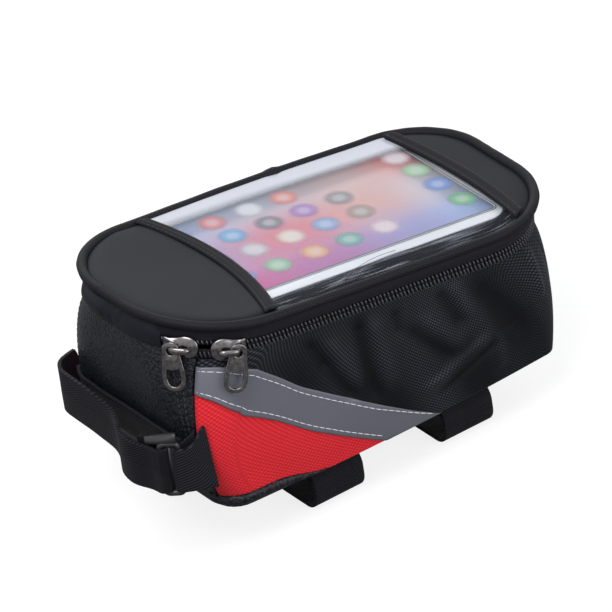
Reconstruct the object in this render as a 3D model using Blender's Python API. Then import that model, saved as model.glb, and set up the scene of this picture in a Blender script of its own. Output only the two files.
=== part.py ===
"""Top tube phone bag: a zipped bicycle frame bag whose lid is a clear phone pocket.

Metres, +Z up. +X runs to the rear of the bicycle, -Y is the near side. The underside that
sits on the top tube is z = 0, and the strap loops hang below it. The lid slopes down to the
rear, so the lid has its own flat frame (x, y, w), with w measured square to the lid.
"""
import math

import bmesh
import bpy
from mathutils import Matrix, Vector

MM = 0.001
CLEARANCE = 0.3 * MM

# Lid: the centre line of its piping, and what is stacked inside that outline
LID_SLOPE = math.radians(7.1)
LID_CENTRE_HEIGHT = 79.0 * MM
LID_HALF_LENGTH = 99.2 * MM
LID_HALF_WIDTH = 51.0 * MM
LID_FRONT_RADIUS = 42.8 * MM
LID_REAR_RADIUS = 32.6 * MM
LID_NEAR_REAR_EXTRA = 9.0 * MM
LID_FAR_BOW = 1.8 * MM
LID_FRONT_LIFT = 3.0 * MM
LID_REAR_LIFT = 2.4 * MM
LIFT_START_FRONT = 35.0 * MM
LIFT_START_REAR = 50.0 * MM
PIPING_RADIUS = 2.2 * MM
HINGE_FORWARD = 2.0 * MM
BAND_TOP = 2.6 * MM
BAND_BOTTOM = 7.0 * MM
BAND_THICKNESS = 1.4 * MM
BAND_INSET = 0.4 * MM
BOARD_THICKNESS = 1.4 * MM
BOARD_TOP = 7.5 * MM
FILM_THICKNESS = 0.4 * MM
COVER_THICKNESS = 1.4 * MM
COVER_LEVEL = 0.4 * MM
REAR_PANEL_TIP = 1.5 * MM
TAPE_THICKNESS = 0.8 * MM
TAPE_WIDTH = 6.5 * MM
FRONT_WINDOW_X = -LID_HALF_LENGTH + 58.4 * MM
FRONT_WINDOW_BOW = 9.0 * MM
REAR_WINDOW_X = LID_HALF_LENGTH - 22.6 * MM
REAR_WINDOW_BOW = 4.0 * MM
FRONT_WINDOW_MIDDLE_Y = 5.0 * MM
REAR_WINDOW_MIDDLE_Y = -2.0 * MM

# Phone in the pocket, as large as the lid takes with this room at both ends and both sides
PHONE_END_ROOM = 24.2 * MM
PHONE_SIDE_ROOM = 9.5 * MM
PHONE_LENGTH = 2 * (LID_HALF_LENGTH - PHONE_END_ROOM)
PHONE_WIDTH = 2 * (LID_HALF_WIDTH - PHONE_SIDE_ROOM)
PHONE_THICKNESS = 6.6 * MM
PHONE_CORNER = 12.0 * MM
PHONE_CENTRE = (5.0 * MM, 5.3 * MM)
SCREEN_THICKNESS = 0.5 * MM
SCREEN_MARGIN_SIDE = 2.5 * MM
SCREEN_MARGIN_END = 2.5 * MM

# Zip: two chains of teeth that mesh along one zigzag line
ZIP_TOP = 7.3 * MM
ZIP_LINE = 10.0 * MM
ZIP_BOTTOM = 12.7 * MM
ZIP_INSET = 0.5 * MM
ZIP_THICKNESS = 2.0 * MM
TOOTH_PITCH = 4.0 * MM
TOOTH_DEPTH = 1.6 * MM
ZIP_END_ANGLE = math.radians(18.0)
TEETH_GAP = 0.5 * MM
GAPE_UP = 1.0 * MM
GAPE_DOWN = 1.4 * MM

# Slider body, its bridge and its pull tab
SLIDER_ANGLES = (math.radians(39.5), math.radians(65.0))
TAB_REST_TURNS = (math.radians(8.0), math.radians(-8.0))
SLIDER_LENGTH = 15.0 * MM
SLIDER_HEIGHT = 10.4 * MM
SLIDER_NOSE_HEIGHT = 6.6 * MM
SLIDER_THICKNESS = 1.8 * MM
SLIDER_STANDOFF = 0.5 * MM
SLIDER_LEAN = math.radians(6.0)
BRIDGE_SPAN = 7.6 * MM
BRIDGE_WIRE_RADIUS = 0.95 * MM
BRIDGE_RISE = 2.6 * MM
TAB_LENGTH = 20.0 * MM
TAB_WIDTH = 9.4 * MM
TAB_THICKNESS = 1.3 * MM
TAB_EYE_RADIUS = 2.4 * MM
TAB_EYE_RIM = 1.5 * MM
TAB_HOLE_LENGTH = 8.6 * MM
TAB_HOLE_WIDTH = 5.8 * MM
TAB_RIM = 1.5 * MM

# Body: outlines of the wall at its middle and at the underside
HEM_HEIGHT = 2.3 * MM
MIDDLE_FRONT_X = -LID_HALF_LENGTH + 1.2 * MM
MIDDLE_REAR_X = LID_HALF_LENGTH - 6.2 * MM
MIDDLE_HALF_WIDTH = LID_HALF_WIDTH - 2.0 * MM
MIDDLE_FRONT_RADIUS = 20.0 * MM
MIDDLE_REAR_RADIUS = 22.0 * MM
MIDDLE_BOW = 2.5 * MM
BOTTOM_FRONT_X = -LID_HALF_LENGTH + 13.2 * MM
BOTTOM_REAR_X = LID_HALF_LENGTH - 14.7 * MM
BOTTOM_HALF_WIDTH = LID_HALF_WIDTH - 4.4 * MM
BOTTOM_FRONT_RADIUS = 14.0 * MM
BOTTOM_REAR_RADIUS = 7.0 * MM
BOTTOM_BOW = 2.4 * MM
BOTTOM_PANEL_INSET = 3.6 * MM
WALL_TOP = 13.0 * MM
WALL_INSET = 0.8 * MM
WALL_THICKNESS = 2.4 * MM
LINING_THICKNESS = 1.2 * MM
BOTTOM_THICKNESS = 2.0 * MM
GUSSET_THICKNESS = 3.2 * MM
GUSSET_PROUD = 1.6 * MM
GUSSET_TOP = 3.1 * MM
REFLECTOR_PROUD = 0.5 * MM
SEAM_STATION = 7.53
SEAM_GAP = 0.017
HEM_RISE = 5.5 * MM
HEM_START_X = BOTTOM_FRONT_X + 52.0 * MM
HEM_FULL_X = BOTTOM_FRONT_X + 24.0 * MM
BINDING_START_X = BOTTOM_FRONT_X + 48.0 * MM
BINDING_SIDES = 8
BINDING_PROUD = 0.4 * MM

# Edges of the near reflective tape, as (station, height) on the wall; the far tape mirrors it
REFLECTOR_TOP = ((-0.47, 0.925), (-0.3, 0.93), (-0.14, 0.91), (0.05, 0.838), (0.13, 0.758), (0.2, 0.675),
                 (0.2725, 0.59), (0.374, 0.4425), (0.476, 0.26), (0.56, 0.1), (0.615, 0.0))
REFLECTOR_LOW = ((-0.47, 0.765), (-0.36, 0.747), (-0.26, 0.72), (-0.13, 0.672), (0.03, 0.598), (0.09, 0.537),
                 (0.15, 0.468), (0.2, 0.4), (0.285, 0.268), (0.345, 0.162), (0.4, 0.062), (0.435, 0.0))
REFLECTOR_GAP = 0.006

# Webbing straps
WEBBING_WIDTH = 25.0 * MM
FRONT_WEBBING_WIDTH = 20.5 * MM
WEBBING_THICKNESS = 1.6 * MM
BOTTOM_STRAP_XS = (-29.0 * MM, 38.0 * MM)
BOTTOM_STRAP_HALF_WIDTH = BOTTOM_HALF_WIDTH - 3.6 * MM
BOTTOM_STRAP_DROP = 20.5 * MM
BOTTOM_STRAP_RADIUS = 8.0 * MM
FRONT_STRAP_LOW = 19.8 * MM
FRONT_STRAP_RISE = 4.0 * MM
ROOT_FLARE_UP = 8.0 * MM
ROOT_FLARE_DOWN = 2.0 * MM
ROOT_FLARE_X = MIDDLE_FRONT_X - 1.0 * MM
ROOT_FLARE_RUN = 7.0 * MM
STRAP_ROOT_X = MIDDLE_FRONT_X - 5.0 * MM
STRAP_ROOT_RUN = 10.0 * MM
STRAP_LEAN = 7.0 * MM
RING_WIRE_RADIUS = 1.4 * MM
NEAR_NOSE = Vector((MIDDLE_FRONT_X, -MIDDLE_HALF_WIDTH))
FAR_NOSE = Vector((MIDDLE_FRONT_X, MIDDLE_HALF_WIDTH))
RING_NEAR_BAR = NEAR_NOSE + Vector((-3.5 * MM, 9.5 * MM))
RING_FAR_BAR = NEAR_NOSE + Vector((-9.1 * MM, 14.4 * MM))
TAB_ROOT = [NEAR_NOSE + MM * Vector(step) for step in ((6.8, -0.3), (2.6, 1.9))]
TAB_TAIL = [NEAR_NOSE + MM * Vector(step) for step in ((0.2, 9.1), (2.1, 6.4), (3.5, 4.4))]
STRAP_ROOT = [FAR_NOSE + MM * Vector(step) for step in
              ((6.4, -0.6), (2.2, -1.5), (-1.8, -3.0), (-4.7, -5.8), (-6.6, -10.5))]
STRAP_MIDDLE = [Vector((MIDDLE_FRONT_X - out * MM, share * MIDDLE_HALF_WIDTH)) for out, share in
                ((7.0, 0.5714), (7.1, 0.2857), (7.5, 0.0408))]
STRAP_END = [RING_FAR_BAR + MM * Vector(step) for step in ((-1.3, 28.6), (-5.3, 21.6), (-6.2, 13.0), (-3.2, 5.0))]
STRAP_TAIL = [RING_FAR_BAR + MM * Vector(step) for step in ((2.0, 6.5), (-0.6, 14.5))]

LID_PIECES = ("lid_piping", "lid_front_panel", "lid_rear_panel", "window_film", "front_window_binding",
              "rear_window_binding", "lid_side_band", "lid_board", "phone_body", "phone_screen",
              "upper_zip_chain")

SIDE_STEPS = 9
CORNER_STEPS = 6
END_STEPS = 3
WALL_ROWS = 8


def material(name, rgb, roughness=0.6, metallic=0.0, alpha=1.0):
    made = bpy.data.materials.new(name)
    made.use_nodes = True
    shader = made.node_tree.nodes["Principled BSDF"]
    shader.inputs["Base Color"].default_value = (*rgb, 1.0)
    shader.inputs["Roughness"].default_value = roughness
    shader.inputs["Metallic"].default_value = metallic
    shader.inputs["Alpha"].default_value = alpha
    made.diffuse_color = (*rgb, alpha)
    return made


# Outlines. A station runs once round an outline from 0 to 8: the near side front to rear, the
# rear near corner, the rear end, the rear far corner, the far side, the front far corner, the
# front end and the front near corner. Station 5 - s mirrors station s across the bag.
def outline_point(station, shape):
    front_x, rear_x, half_width, front_radius, near_radius, far_radius, near_bow, far_bow = shape
    section, share = divmod(station % 8.0, 1.0)
    side_front = front_x + front_radius
    hump = 4.0 * share * (1.0 - share)
    if section == 0:
        return side_front + share * (rear_x - near_radius - side_front), -half_width - near_bow * hump
    if section == 4:
        side_rear = rear_x - far_radius
        return side_rear + share * (side_front - side_rear), half_width + far_bow * hump
    if section == 2:
        start, stop = near_radius - half_width, half_width - far_radius
        return rear_x, start + share * (stop - start)
    if section == 6:
        reach = half_width - front_radius
        return front_x, reach * (1.0 - 2.0 * share)
    turn = {1: -0.5, 3: 0.0, 5: 0.5, 7: 1.0}[section] * math.pi + share * math.pi / 2
    radius = {1: near_radius, 3: far_radius, 5: front_radius, 7: front_radius}[section]
    centre_x = rear_x - radius if section in (1, 3) else side_front
    centre_y = (half_width - radius) * (1.0 if section in (3, 5) else -1.0)
    return centre_x + radius * math.cos(turn), centre_y + radius * math.sin(turn)


def lid_shape(inset=0.0):
    return (-LID_HALF_LENGTH + inset, LID_HALF_LENGTH - inset, LID_HALF_WIDTH - inset,
            LID_FRONT_RADIUS - inset, LID_REAR_RADIUS + LID_NEAR_REAR_EXTRA - inset, LID_REAR_RADIUS - inset,
            0.0, LID_FAR_BOW)


def middle_shape(inset=0.0):
    return (MIDDLE_FRONT_X + inset, MIDDLE_REAR_X - inset, MIDDLE_HALF_WIDTH - inset,
            MIDDLE_FRONT_RADIUS - inset, MIDDLE_REAR_RADIUS - inset, MIDDLE_REAR_RADIUS - inset,
            MIDDLE_BOW, MIDDLE_BOW)


def bottom_shape(inset=0.0):
    return (BOTTOM_FRONT_X + inset, BOTTOM_REAR_X - inset, BOTTOM_HALF_WIDTH - inset,
            BOTTOM_FRONT_RADIUS - inset, BOTTOM_REAR_RADIUS - inset, BOTTOM_REAR_RADIUS - inset,
            BOTTOM_BOW, BOTTOM_BOW)


def lid_lift(x):
    """Both ends of the lid curl up a little above its flat middle."""
    front_reach = max(0.0, -x - LIFT_START_FRONT) / (LID_HALF_LENGTH - LIFT_START_FRONT)
    rear_reach = max(0.0, x - LIFT_START_REAR) / (LID_HALF_LENGTH - LIFT_START_REAR)
    return LID_FRONT_LIFT * front_reach ** 2 + LID_REAR_LIFT * rear_reach ** 2


LID_FRAME = Matrix.Translation((0.0, 0.0, LID_CENTRE_HEIGHT)) @ Matrix.Rotation(LID_SLOPE, 4, "Y")


def lid_point(x, y, w):
    return LID_FRAME @ Vector((x, y, w + lid_lift(x)))


def ring_point(station, inset, w):
    """A point of the lid's side: inside the piping's centre line by inset, at height w."""
    x, y = outline_point(station, lid_shape(inset))
    return lid_point(x, y, w)


def hem_share(x):
    """How far the walls' lower hem has risen over the bottom binding, 0 at the rear to 1 in front."""
    share = (HEM_START_X - x) / (HEM_START_X - HEM_FULL_X)
    share = min(1.0, max(0.0, share))
    return share * share * (3.0 - 2.0 * share)


def wall_point(station, height, inset=0.0):
    """A point of the bag's wall; height runs from 0 at the underside to 1 at the zip."""
    top = ring_point(station, WALL_INSET + inset, -WALL_TOP)
    low_x, low_y = outline_point(station, bottom_shape(inset))
    low = Vector((low_x, low_y, HEM_HEIGHT + HEM_RISE * hem_share(low_x)))
    middle = Vector((*outline_point(station, middle_shape(inset)), 0.5 * (low.z + top.z)))
    weight_low = (1.0 - height) * (1.0 - 2.0 * height)
    weight_middle = 4.0 * height * (1.0 - height)
    weight_top = height * (2.0 * height - 1.0)
    return low * weight_low + middle * weight_middle + top * weight_top


def stations(start, end):
    """Stations from start to end, with a point at each section's own steps."""
    found = [start]
    section = math.floor(start + 1e-9)
    while section < end:
        steps = {0: SIDE_STEPS, 4: SIDE_STEPS, 2: END_STEPS, 6: END_STEPS}.get(section % 8, CORNER_STEPS)
        for step in range(steps):
            station = section + step / steps
            if start + 0.02 < station < end - 0.02:
                found.append(station)
        section += 1
    return found + [end]


# Solids
def finish(name, mesh_builder, paint, location=(0.0, 0.0, 0.0)):
    mesh = bpy.data.meshes.new(name)
    mesh_builder.to_mesh(mesh)
    mesh_builder.free()
    mesh.materials.append(paint)
    mesh.transform(Matrix.Translation(-Vector(location)))
    made = bpy.data.objects.new(name, mesh)
    made.location = location
    bpy.context.collection.objects.link(made)
    return made


def loft(name, sections, paint, closed=False):
    """A solid through closed sections of equally many points; open ends are capped."""
    builder = bmesh.new()
    rings = [[builder.verts.new(point) for point in section] for section in sections]
    pairs = list(zip(rings, rings[1:]))
    if closed:
        pairs.append((rings[-1], rings[0]))
    for one, other in pairs:
        for k, vert in enumerate(one):
            after = (k + 1) % len(one)
            builder.faces.new((vert, one[after], other[after], other[k]))
    if not closed:
        builder.faces.new(rings[0])
        builder.faces.new(rings[-1])
    bmesh.ops.recalc_face_normals(builder, faces=builder.faces)
    return finish(name, builder, paint)


def ring_strip(name, course, inset, thickness, top, bottom, paint, closed=False):
    """A strip round the lid's side; top and bottom give w for a station."""
    sections = []
    for station in course:
        high, low = top(station), bottom(station)
        sections.append([ring_point(station, inset, high), ring_point(station, inset, low),
                         ring_point(station, inset + thickness, low),
                         ring_point(station, inset + thickness, high)])
    return loft(name, sections, paint, closed)


def wall_panel(name, course, low, high, paint, proud=0.0, inner=WALL_THICKNESS, closed=False):
    """A piece of the bag's wall between two heights, which are functions of the station."""
    sections = []
    for station in course:
        start, stop = low(station), high(station)
        heights = [start + (stop - start) * row / WALL_ROWS for row in range(WALL_ROWS + 1)]
        outer = [wall_point(station, height, -proud) for height in heights]
        inside = [wall_point(station, height, inner) for height in reversed(heights)]
        sections.append(outer + inside)
    return loft(name, sections, paint, closed)


def world_plate(name, outline, low, high, paint):
    """A level outline (x, y), extruded from z = low to z = high."""
    rings = [[Vector((x, y, z)) for x, y in outline] for z in (low, high)]
    return loft(name, rings, paint)


def across(inset, radius, centre_reach):
    """Y values across the lid from side to side, closer together at its round corners."""
    reach = centre_reach
    turns = [math.radians(90.0 * step / CORNER_STEPS) for step in range(CORNER_STEPS, 0, -1)]
    near = [-reach - (radius - inset) * math.sin(turn) for turn in turns]
    middle = [-reach + 2.0 * reach * step / 4 for step in range(5)]
    return near + middle + [-y for y in reversed(near)]


def corner_radius(x, y):
    """Radius of the lid's corner in the quarter where x and y lie."""
    if x < 0:
        return LID_FRONT_RADIUS
    return LID_REAR_RADIUS + (LID_NEAR_REAR_EXTRA if y < 0 else 0.0)


def end_x(y, inset, front):
    """X of the lid's outline at a given y, on its front or rear end."""
    corner = corner_radius(-1.0 if front else 1.0, y)
    radius = corner - inset
    beyond = min(radius, max(0.0, abs(y) - (LID_HALF_WIDTH - corner)))
    x = LID_HALF_LENGTH - inset - radius + math.sqrt(radius * radius - beyond * beyond)
    return -x if front else x


def front_window_x(y):
    return FRONT_WINDOW_X - FRONT_WINDOW_BOW * ((y - FRONT_WINDOW_MIDDLE_Y) / LID_HALF_WIDTH) ** 2


def rear_window_x(y):
    return REAR_WINDOW_X - REAR_WINDOW_BOW * ((y - REAR_WINDOW_MIDDLE_Y) / LID_HALF_WIDTH) ** 2


def rear_panel_y(side, inset, width):
    """Y where the lid's rear panel has narrowed to this width, at the near (-1) or far (1) side."""
    low, high = 0.0, LID_HALF_WIDTH - inset
    for _ in range(40):
        middle = (low + high) / 2
        reach = end_x(side * middle, inset, False) - rear_window_x(side * middle)
        low, high = (middle, high) if reach > width else (low, middle)
    return side * low


def squeezed(x, y, inset):
    """Y moved in step with the lid's outline where its round corners draw in."""
    corner = corner_radius(x, y)
    beyond = max(0.0, abs(x) - (LID_HALF_LENGTH - corner))
    radius = corner - inset
    drawn_in = radius - math.sqrt(radius * radius - beyond * beyond)
    if y > 0 and beyond == 0.0:
        front, rear = LID_FRONT_RADIUS - LID_HALF_LENGTH, LID_HALF_LENGTH - LID_REAR_RADIUS
        share = (x - front) / (rear - front)
        drawn_in = -4.0 * LID_FAR_BOW * share * (1.0 - share)
    return y * (1.0 - drawn_in / (LID_HALF_WIDTH - inset))


def lid_panel(name, ys, start_x, stop_x, low, thickness, paint, columns=5, squeeze=None):
    """A panel of the lid's top between two curved edges, w from low to low + thickness."""
    sections = []
    for y in ys:
        start, stop = start_x(y), stop_x(y)
        xs = [start + (stop - start) * k / columns for k in range(columns + 1)]
        spots = [(x, y if squeeze is None else squeezed(x, y, squeeze)) for x in xs]
        sections.append([lid_point(x, spot_y, low + thickness) for x, spot_y in spots]
                        + [lid_point(x, spot_y, low) for x, spot_y in reversed(spots)])
    return loft(name, sections, paint)


def rounded_box(centre, length, width, radius, steps=5):
    """Corner points of a rounded rectangle, anticlockwise."""
    outline = []
    for corner, (side_x, side_y) in enumerate(((1, -1), (1, 1), (-1, 1), (-1, -1))):
        middle_x = centre[0] + side_x * (length / 2 - radius)
        middle_y = centre[1] + side_y * (width / 2 - radius)
        for step in range(steps + 1):
            turn = math.radians(-90 + 90 * corner + 90 * step / steps)
            outline.append((middle_x + radius * math.cos(turn), middle_y + radius * math.sin(turn)))
    return outline


def flat_lid_plate(name, outline, low, high, paint):
    """A stiff flat plate of the lid: it doesn't follow the lid's curled ends."""
    rings = [[LID_FRAME @ Vector((x, y, w)) for x, y in outline] for w in (low, high)]
    return loft(name, rings, paint)


def wire(name, points, radius, normal, paint, closed=False, sides=8):
    """A round cord or wire along points that lie close to one plane with this normal."""
    count = len(points)
    sections = []
    for k, point in enumerate(points):
        before = points[k - 1] if k or closed else point
        after = points[(k + 1) % count] if k < count - 1 or closed else point
        side = (after - before).cross(normal).normalized()
        section = []
        for step in range(sides):
            turn = 2 * math.pi * (step + 0.5) / sides
            section.append(point + radius * (side * math.cos(turn) + normal * math.sin(turn)))
        sections.append(section)
    return loft(name, sections, paint, closed)


def smooth_path(points, per_span=4):
    """A Catmull-Rom curve through plan points."""
    padded = [points[0] * 2 - points[1], *points, points[-1] * 2 - points[-2]]
    path = []
    for before, start, stop, after in zip(padded, padded[1:], padded[2:], padded[3:]):
        for step in range(per_span):
            t = step / per_span
            path.append(0.5 * (2 * start + (stop - before) * t
                               + (2 * before - 5 * start + 4 * stop - after) * t * t
                               + (3 * start - before - 3 * stop + after) * t ** 3))
    return path + [points[-1]]


def ribbon(name, path, thickness, place, paint, closed=False):
    """Webbing that follows a flat path; place(point, edge) sets both of its edges in space."""
    sections = []
    count = len(path)
    for k, point in enumerate(path):
        before = path[k - 1] if k or closed else path[0]
        after = path[(k + 1) % count] if k < count - 1 or closed else path[-1]
        along = (after - before).normalized()
        side = Vector((-along.y, along.x)) * thickness / 2
        sections.append([place(point + side, 0), place(point + side, 1),
                         place(point - side, 1), place(point - side, 0)])
    return loft(name, sections, paint, closed)


# Lid
def build_lid(paints):
    course = [station for station in stations(0.0, 8.0)][:-1]
    wire("lid_piping", [ring_point(station, 0.0, 0.0) for station in course], PIPING_RADIUS,
         LID_FRAME.to_3x3() @ Vector((0.0, 0.0, 1.0)), paints["piping"], closed=True)
    front_ys = across(2.7 * MM, LID_FRONT_RADIUS, LID_HALF_WIDTH - LID_FRONT_RADIUS)
    cover_inset = PIPING_RADIUS + 0.7 * MM
    start_y, stop_y = (rear_panel_y(side, cover_inset, REAR_PANEL_TIP) for side in (-1.0, 1.0))
    rear_ys = [start_y + (stop_y - start_y) * 0.5 * (1.0 - math.cos(math.pi * step / 18)) for step in range(19)]
    lid_panel("lid_front_panel", front_ys, lambda y: end_x(y, cover_inset, True), front_window_x,
              COVER_LEVEL, COVER_THICKNESS, paints["smooth_leather"])
    lid_panel("lid_rear_panel", rear_ys, rear_window_x, lambda y: end_x(y, cover_inset, False),
              COVER_LEVEL, COVER_THICKNESS, paints["smooth_leather"])
    side = LID_HALF_WIDTH - cover_inset
    film_ys = [side * (step / 5 - 1.0) for step in range(11)]
    lid_panel("window_film", film_ys, lambda y: front_window_x(y) + CLEARANCE,
              lambda y: rear_window_x(y) - CLEARANCE, COVER_LEVEL, FILM_THICKNESS, paints["film"],
              8, squeeze=cover_inset)
    tape_ys = [(side - 0.6 * MM) * (step / 7 - 1.0) for step in range(15)]
    tape_level = COVER_LEVEL + COVER_THICKNESS + CLEARANCE
    overlap = 0.5 * MM
    lid_panel("front_window_binding", tape_ys, lambda y: front_window_x(y) + overlap - TAPE_WIDTH,
              lambda y: front_window_x(y) + overlap, tape_level, TAPE_THICKNESS, paints["tape"],
              1, squeeze=cover_inset)
    lid_panel("rear_window_binding", tape_ys, lambda y: rear_window_x(y) - overlap,
              lambda y: rear_window_x(y) - overlap + TAPE_WIDTH, tape_level, TAPE_THICKNESS,
              paints["tape"], 1, squeeze=cover_inset)
    board_inset = ZIP_INSET + ZIP_THICKNESS + 2.5 * CLEARANCE
    board = [outline_point(station, lid_shape(board_inset)) for station in course]
    flat_lid_plate("lid_board", board, -BOARD_TOP - BOARD_THICKNESS, -BOARD_TOP, paints["lining"])
    phone_low = -BOARD_TOP + CLEARANCE
    phone = rounded_box(PHONE_CENTRE, PHONE_LENGTH, PHONE_WIDTH, PHONE_CORNER)
    flat_lid_plate("phone_body", phone, phone_low, phone_low + PHONE_THICKNESS, paints["phone"])
    screen = rounded_box(PHONE_CENTRE, PHONE_LENGTH - 2 * SCREEN_MARGIN_END,
                         PHONE_WIDTH - 2 * SCREEN_MARGIN_SIDE, PHONE_CORNER - SCREEN_MARGIN_SIDE)
    screen_low = phone_low + PHONE_THICKNESS + CLEARANCE
    flat_lid_plate("phone_screen", screen, screen_low, screen_low + SCREEN_THICKNESS, paints["screen"])


# Zip
def corner_station(angle):
    """Station on the front near corner, at an angle from the bag's front axis; under 0."""
    return angle / (math.pi / 2) - 1.0


def even_course(start, stop, step):
    """Stations an even number of equal steps apart along the lid's outline."""
    fine = [start + (stop - start) * k / 4000 for k in range(4001)]
    spots = [Vector(outline_point(station, lid_shape())) for station in fine]
    run = [0.0]
    for one, other in zip(spots, spots[1:]):
        run.append(run[-1] + (other - one).length)
    count = 2 * round(run[-1] / step / 2)
    found = []
    k = 0
    for index in range(count + 1):
        goal = run[-1] * index / count
        while k < len(run) - 1 and run[k] < goal:
            k += 1
        found.append(fine[k])
    return found


def gape(station):
    """How far the chains stand apart: 1 between the sliders, 0 elsewhere."""
    start, stop = (corner_station(angle) for angle in SLIDER_ANGLES)
    share = (station - start) / (stop - start)
    return max(0.0, 1.0 - (2.0 * share - 1.0) ** 4) if 0.0 < share < 1.0 else 0.0


def build_zip(paints):
    start = corner_station(ZIP_END_ANGLE)
    stop = 5.0 - start
    course = even_course(start, stop, TOOTH_PITCH / 2)
    upper, lower = [], []
    for k, station in enumerate(course):
        wave = TOOTH_DEPTH / 2 * (1 if k % 2 else -1)
        open_share = gape(station)
        up = -ZIP_LINE + TEETH_GAP / 2 + wave + GAPE_UP * open_share
        down = -ZIP_LINE - TEETH_GAP / 2 + wave - GAPE_DOWN * open_share
        back = ZIP_INSET + ZIP_THICKNESS
        upper.append([ring_point(station, ZIP_INSET, -ZIP_TOP), ring_point(station, ZIP_INSET, up),
                      ring_point(station, back, up), ring_point(station, back, -ZIP_TOP)])
        lower.append([ring_point(station, ZIP_INSET, down), ring_point(station, ZIP_INSET, -ZIP_BOTTOM),
                      ring_point(station, back, -ZIP_BOTTOM), ring_point(station, back, down)])
    loft("upper_zip_chain", upper, paints["teeth"])
    loft("lower_zip_chain", lower, paints["teeth"])
    ring_strip("lid_side_band", stations(start, stop), BAND_INSET, BAND_THICKNESS,
               lambda station: -BAND_TOP, lambda station: -BAND_BOTTOM, paints["band"])
    gap = 0.4 * MM / (LID_FRONT_RADIUS * math.pi / 2)
    ring_strip("front_gusset", stations(stop + gap, start + 8.0 - gap), -GUSSET_PROUD, GUSSET_THICKNESS,
               lambda station: -GUSSET_TOP, lambda station: -ZIP_BOTTOM, paints["gusset"])


def slider_frame(angle):
    """x along the zip to the rear, y up the slider's face, z out of the bag, at the zip line."""
    station = corner_station(angle)
    spot = ring_point(station, -SLIDER_STANDOFF, -ZIP_LINE)
    turn = math.pi + angle
    out = Vector((math.cos(turn), math.sin(turn), 0.0))
    along = Vector((-math.sin(turn), math.cos(turn), 0.0))
    up = Vector((0.0, 0.0, 1.0))
    lean = Matrix.Rotation(-SLIDER_LEAN, 3, along)
    axes = Matrix((along, lean @ up, lean @ out)).transposed()
    turned = LID_FRAME.to_3x3() @ axes
    return Matrix.Translation(spot) @ turned.to_4x4()


def slider_parts(number, angle, paints):
    """The wide end of the slider faces the gape; its tab hangs on the bridge leg at the narrow end."""
    wide = 1.0 if number == 1 else -1.0
    frame = slider_frame(angle)
    half = SLIDER_LENGTH / 2
    outline = []
    for step in range(9):
        turn = math.radians(90 - 180 * step / 8)
        outline.append((wide * (half - 4.4 * MM + 4.4 * MM * math.cos(turn)), SLIDER_HEIGHT / 2 * math.sin(turn)))
    for step in range(7):
        turn = math.radians(270 - 180 * step / 6)
        outline.append((wide * (-half + 2.2 * MM + 2.2 * MM * math.cos(turn)),
                        SLIDER_NOSE_HEIGHT / 2 * math.sin(turn)))
    rings = [[Vector((x, y, z)) for x, y in outline] for z in (0.0, SLIDER_THICKNESS)]
    body = loft(f"zip_slider_{number}", rings, paints["metal"])
    reach = BRIDGE_SPAN / 2
    crown = SLIDER_THICKNESS + BRIDGE_RISE + BRIDGE_WIRE_RADIUS
    root = SLIDER_THICKNESS - 0.6 * MM
    bend = 1.4 * MM
    arch = [(-reach, root), (-reach, crown - bend), (-reach + 0.4 * bend, crown - 0.4 * bend),
            (-reach + bend, crown), (reach - bend, crown), (reach - 0.4 * bend, crown - 0.4 * bend),
            (reach, crown - bend), (reach, root)]
    bridge = wire(f"bridge_{number}", [Vector((x, 0.0, z)) for x, z in arch], BRIDGE_WIRE_RADIUS,
                  Vector((0.0, 1.0, 0.0)), paints["metal"])
    bridge.hide_render = True
    bridge.display_type = "WIRE"
    join = body.modifiers.new("Bridge", "BOOLEAN")
    join.operation = "UNION"
    join.object = bridge
    body.matrix_world = frame
    bridge.matrix_world = frame

    leg = frame @ Vector((-wide * reach, 0.0, SLIDER_THICKNESS + BRIDGE_RISE / 2))
    tab_frame = frame @ Matrix.Rotation(TAB_REST_TURNS[number - 1], 4, "Z")
    tab_frame.translation = leg
    drop = TAB_EYE_RADIUS - BRIDGE_WIRE_RADIUS - CLEARANCE
    tab_low = -drop - TAB_EYE_RADIUS - TAB_LENGTH + 2 * TAB_EYE_RADIUS
    outer = TAB_EYE_RADIUS + TAB_EYE_RIM
    side = TAB_WIDTH / 2
    shape = []
    for step in range(9):
        turn = math.radians(180 * step / 8)
        shape.append((outer * math.cos(turn), -drop + outer * math.sin(turn)))
    shape.append((-outer, -drop - TAB_EYE_RADIUS))
    for step in range(9):
        turn = math.radians(180 + 180 * step / 8)
        shape.append((side * math.cos(turn), tab_low + side + side * math.sin(turn)))
    shape.append((outer, -drop - TAB_EYE_RADIUS))
    half_thickness = TAB_THICKNESS / 2
    rings = [[Vector((x, y, z)) for x, y in shape] for z in (-half_thickness, half_thickness)]
    tab = loft(f"pull_tab_{number}", rings, paints["metal"])
    eye = [(TAB_EYE_RADIUS * math.cos(math.radians(30 * k)), -drop + TAB_EYE_RADIUS * math.sin(math.radians(30 * k)))
           for k in range(12)]
    grip_top = tab_low + TAB_RIM + TAB_HOLE_LENGTH
    grip_half = TAB_HOLE_WIDTH / 2
    grip = [(grip_half, grip_top), (-grip_half, grip_top)]
    for step in range(7):
        turn = math.radians(180 + 180 * step / 6)
        grip.append((grip_half * math.cos(turn), tab_low + TAB_RIM + grip_half + grip_half * math.sin(turn)))
    for label, hole in (("eye", eye), ("grip", grip)):
        cut = loft(f"{label}_cutter_{number}", [[Vector((x, y, z)) for x, y in hole]
                                              for z in (-TAB_THICKNESS, TAB_THICKNESS)], paints["metal"])
        cut.hide_render = True
        cut.display_type = "WIRE"
        cut.matrix_world = tab_frame
        bore = tab.modifiers.new(label, "BOOLEAN")
        bore.operation = "DIFFERENCE"
        bore.object = cut
    tab.matrix_world = tab_frame
    return body, tab


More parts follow.
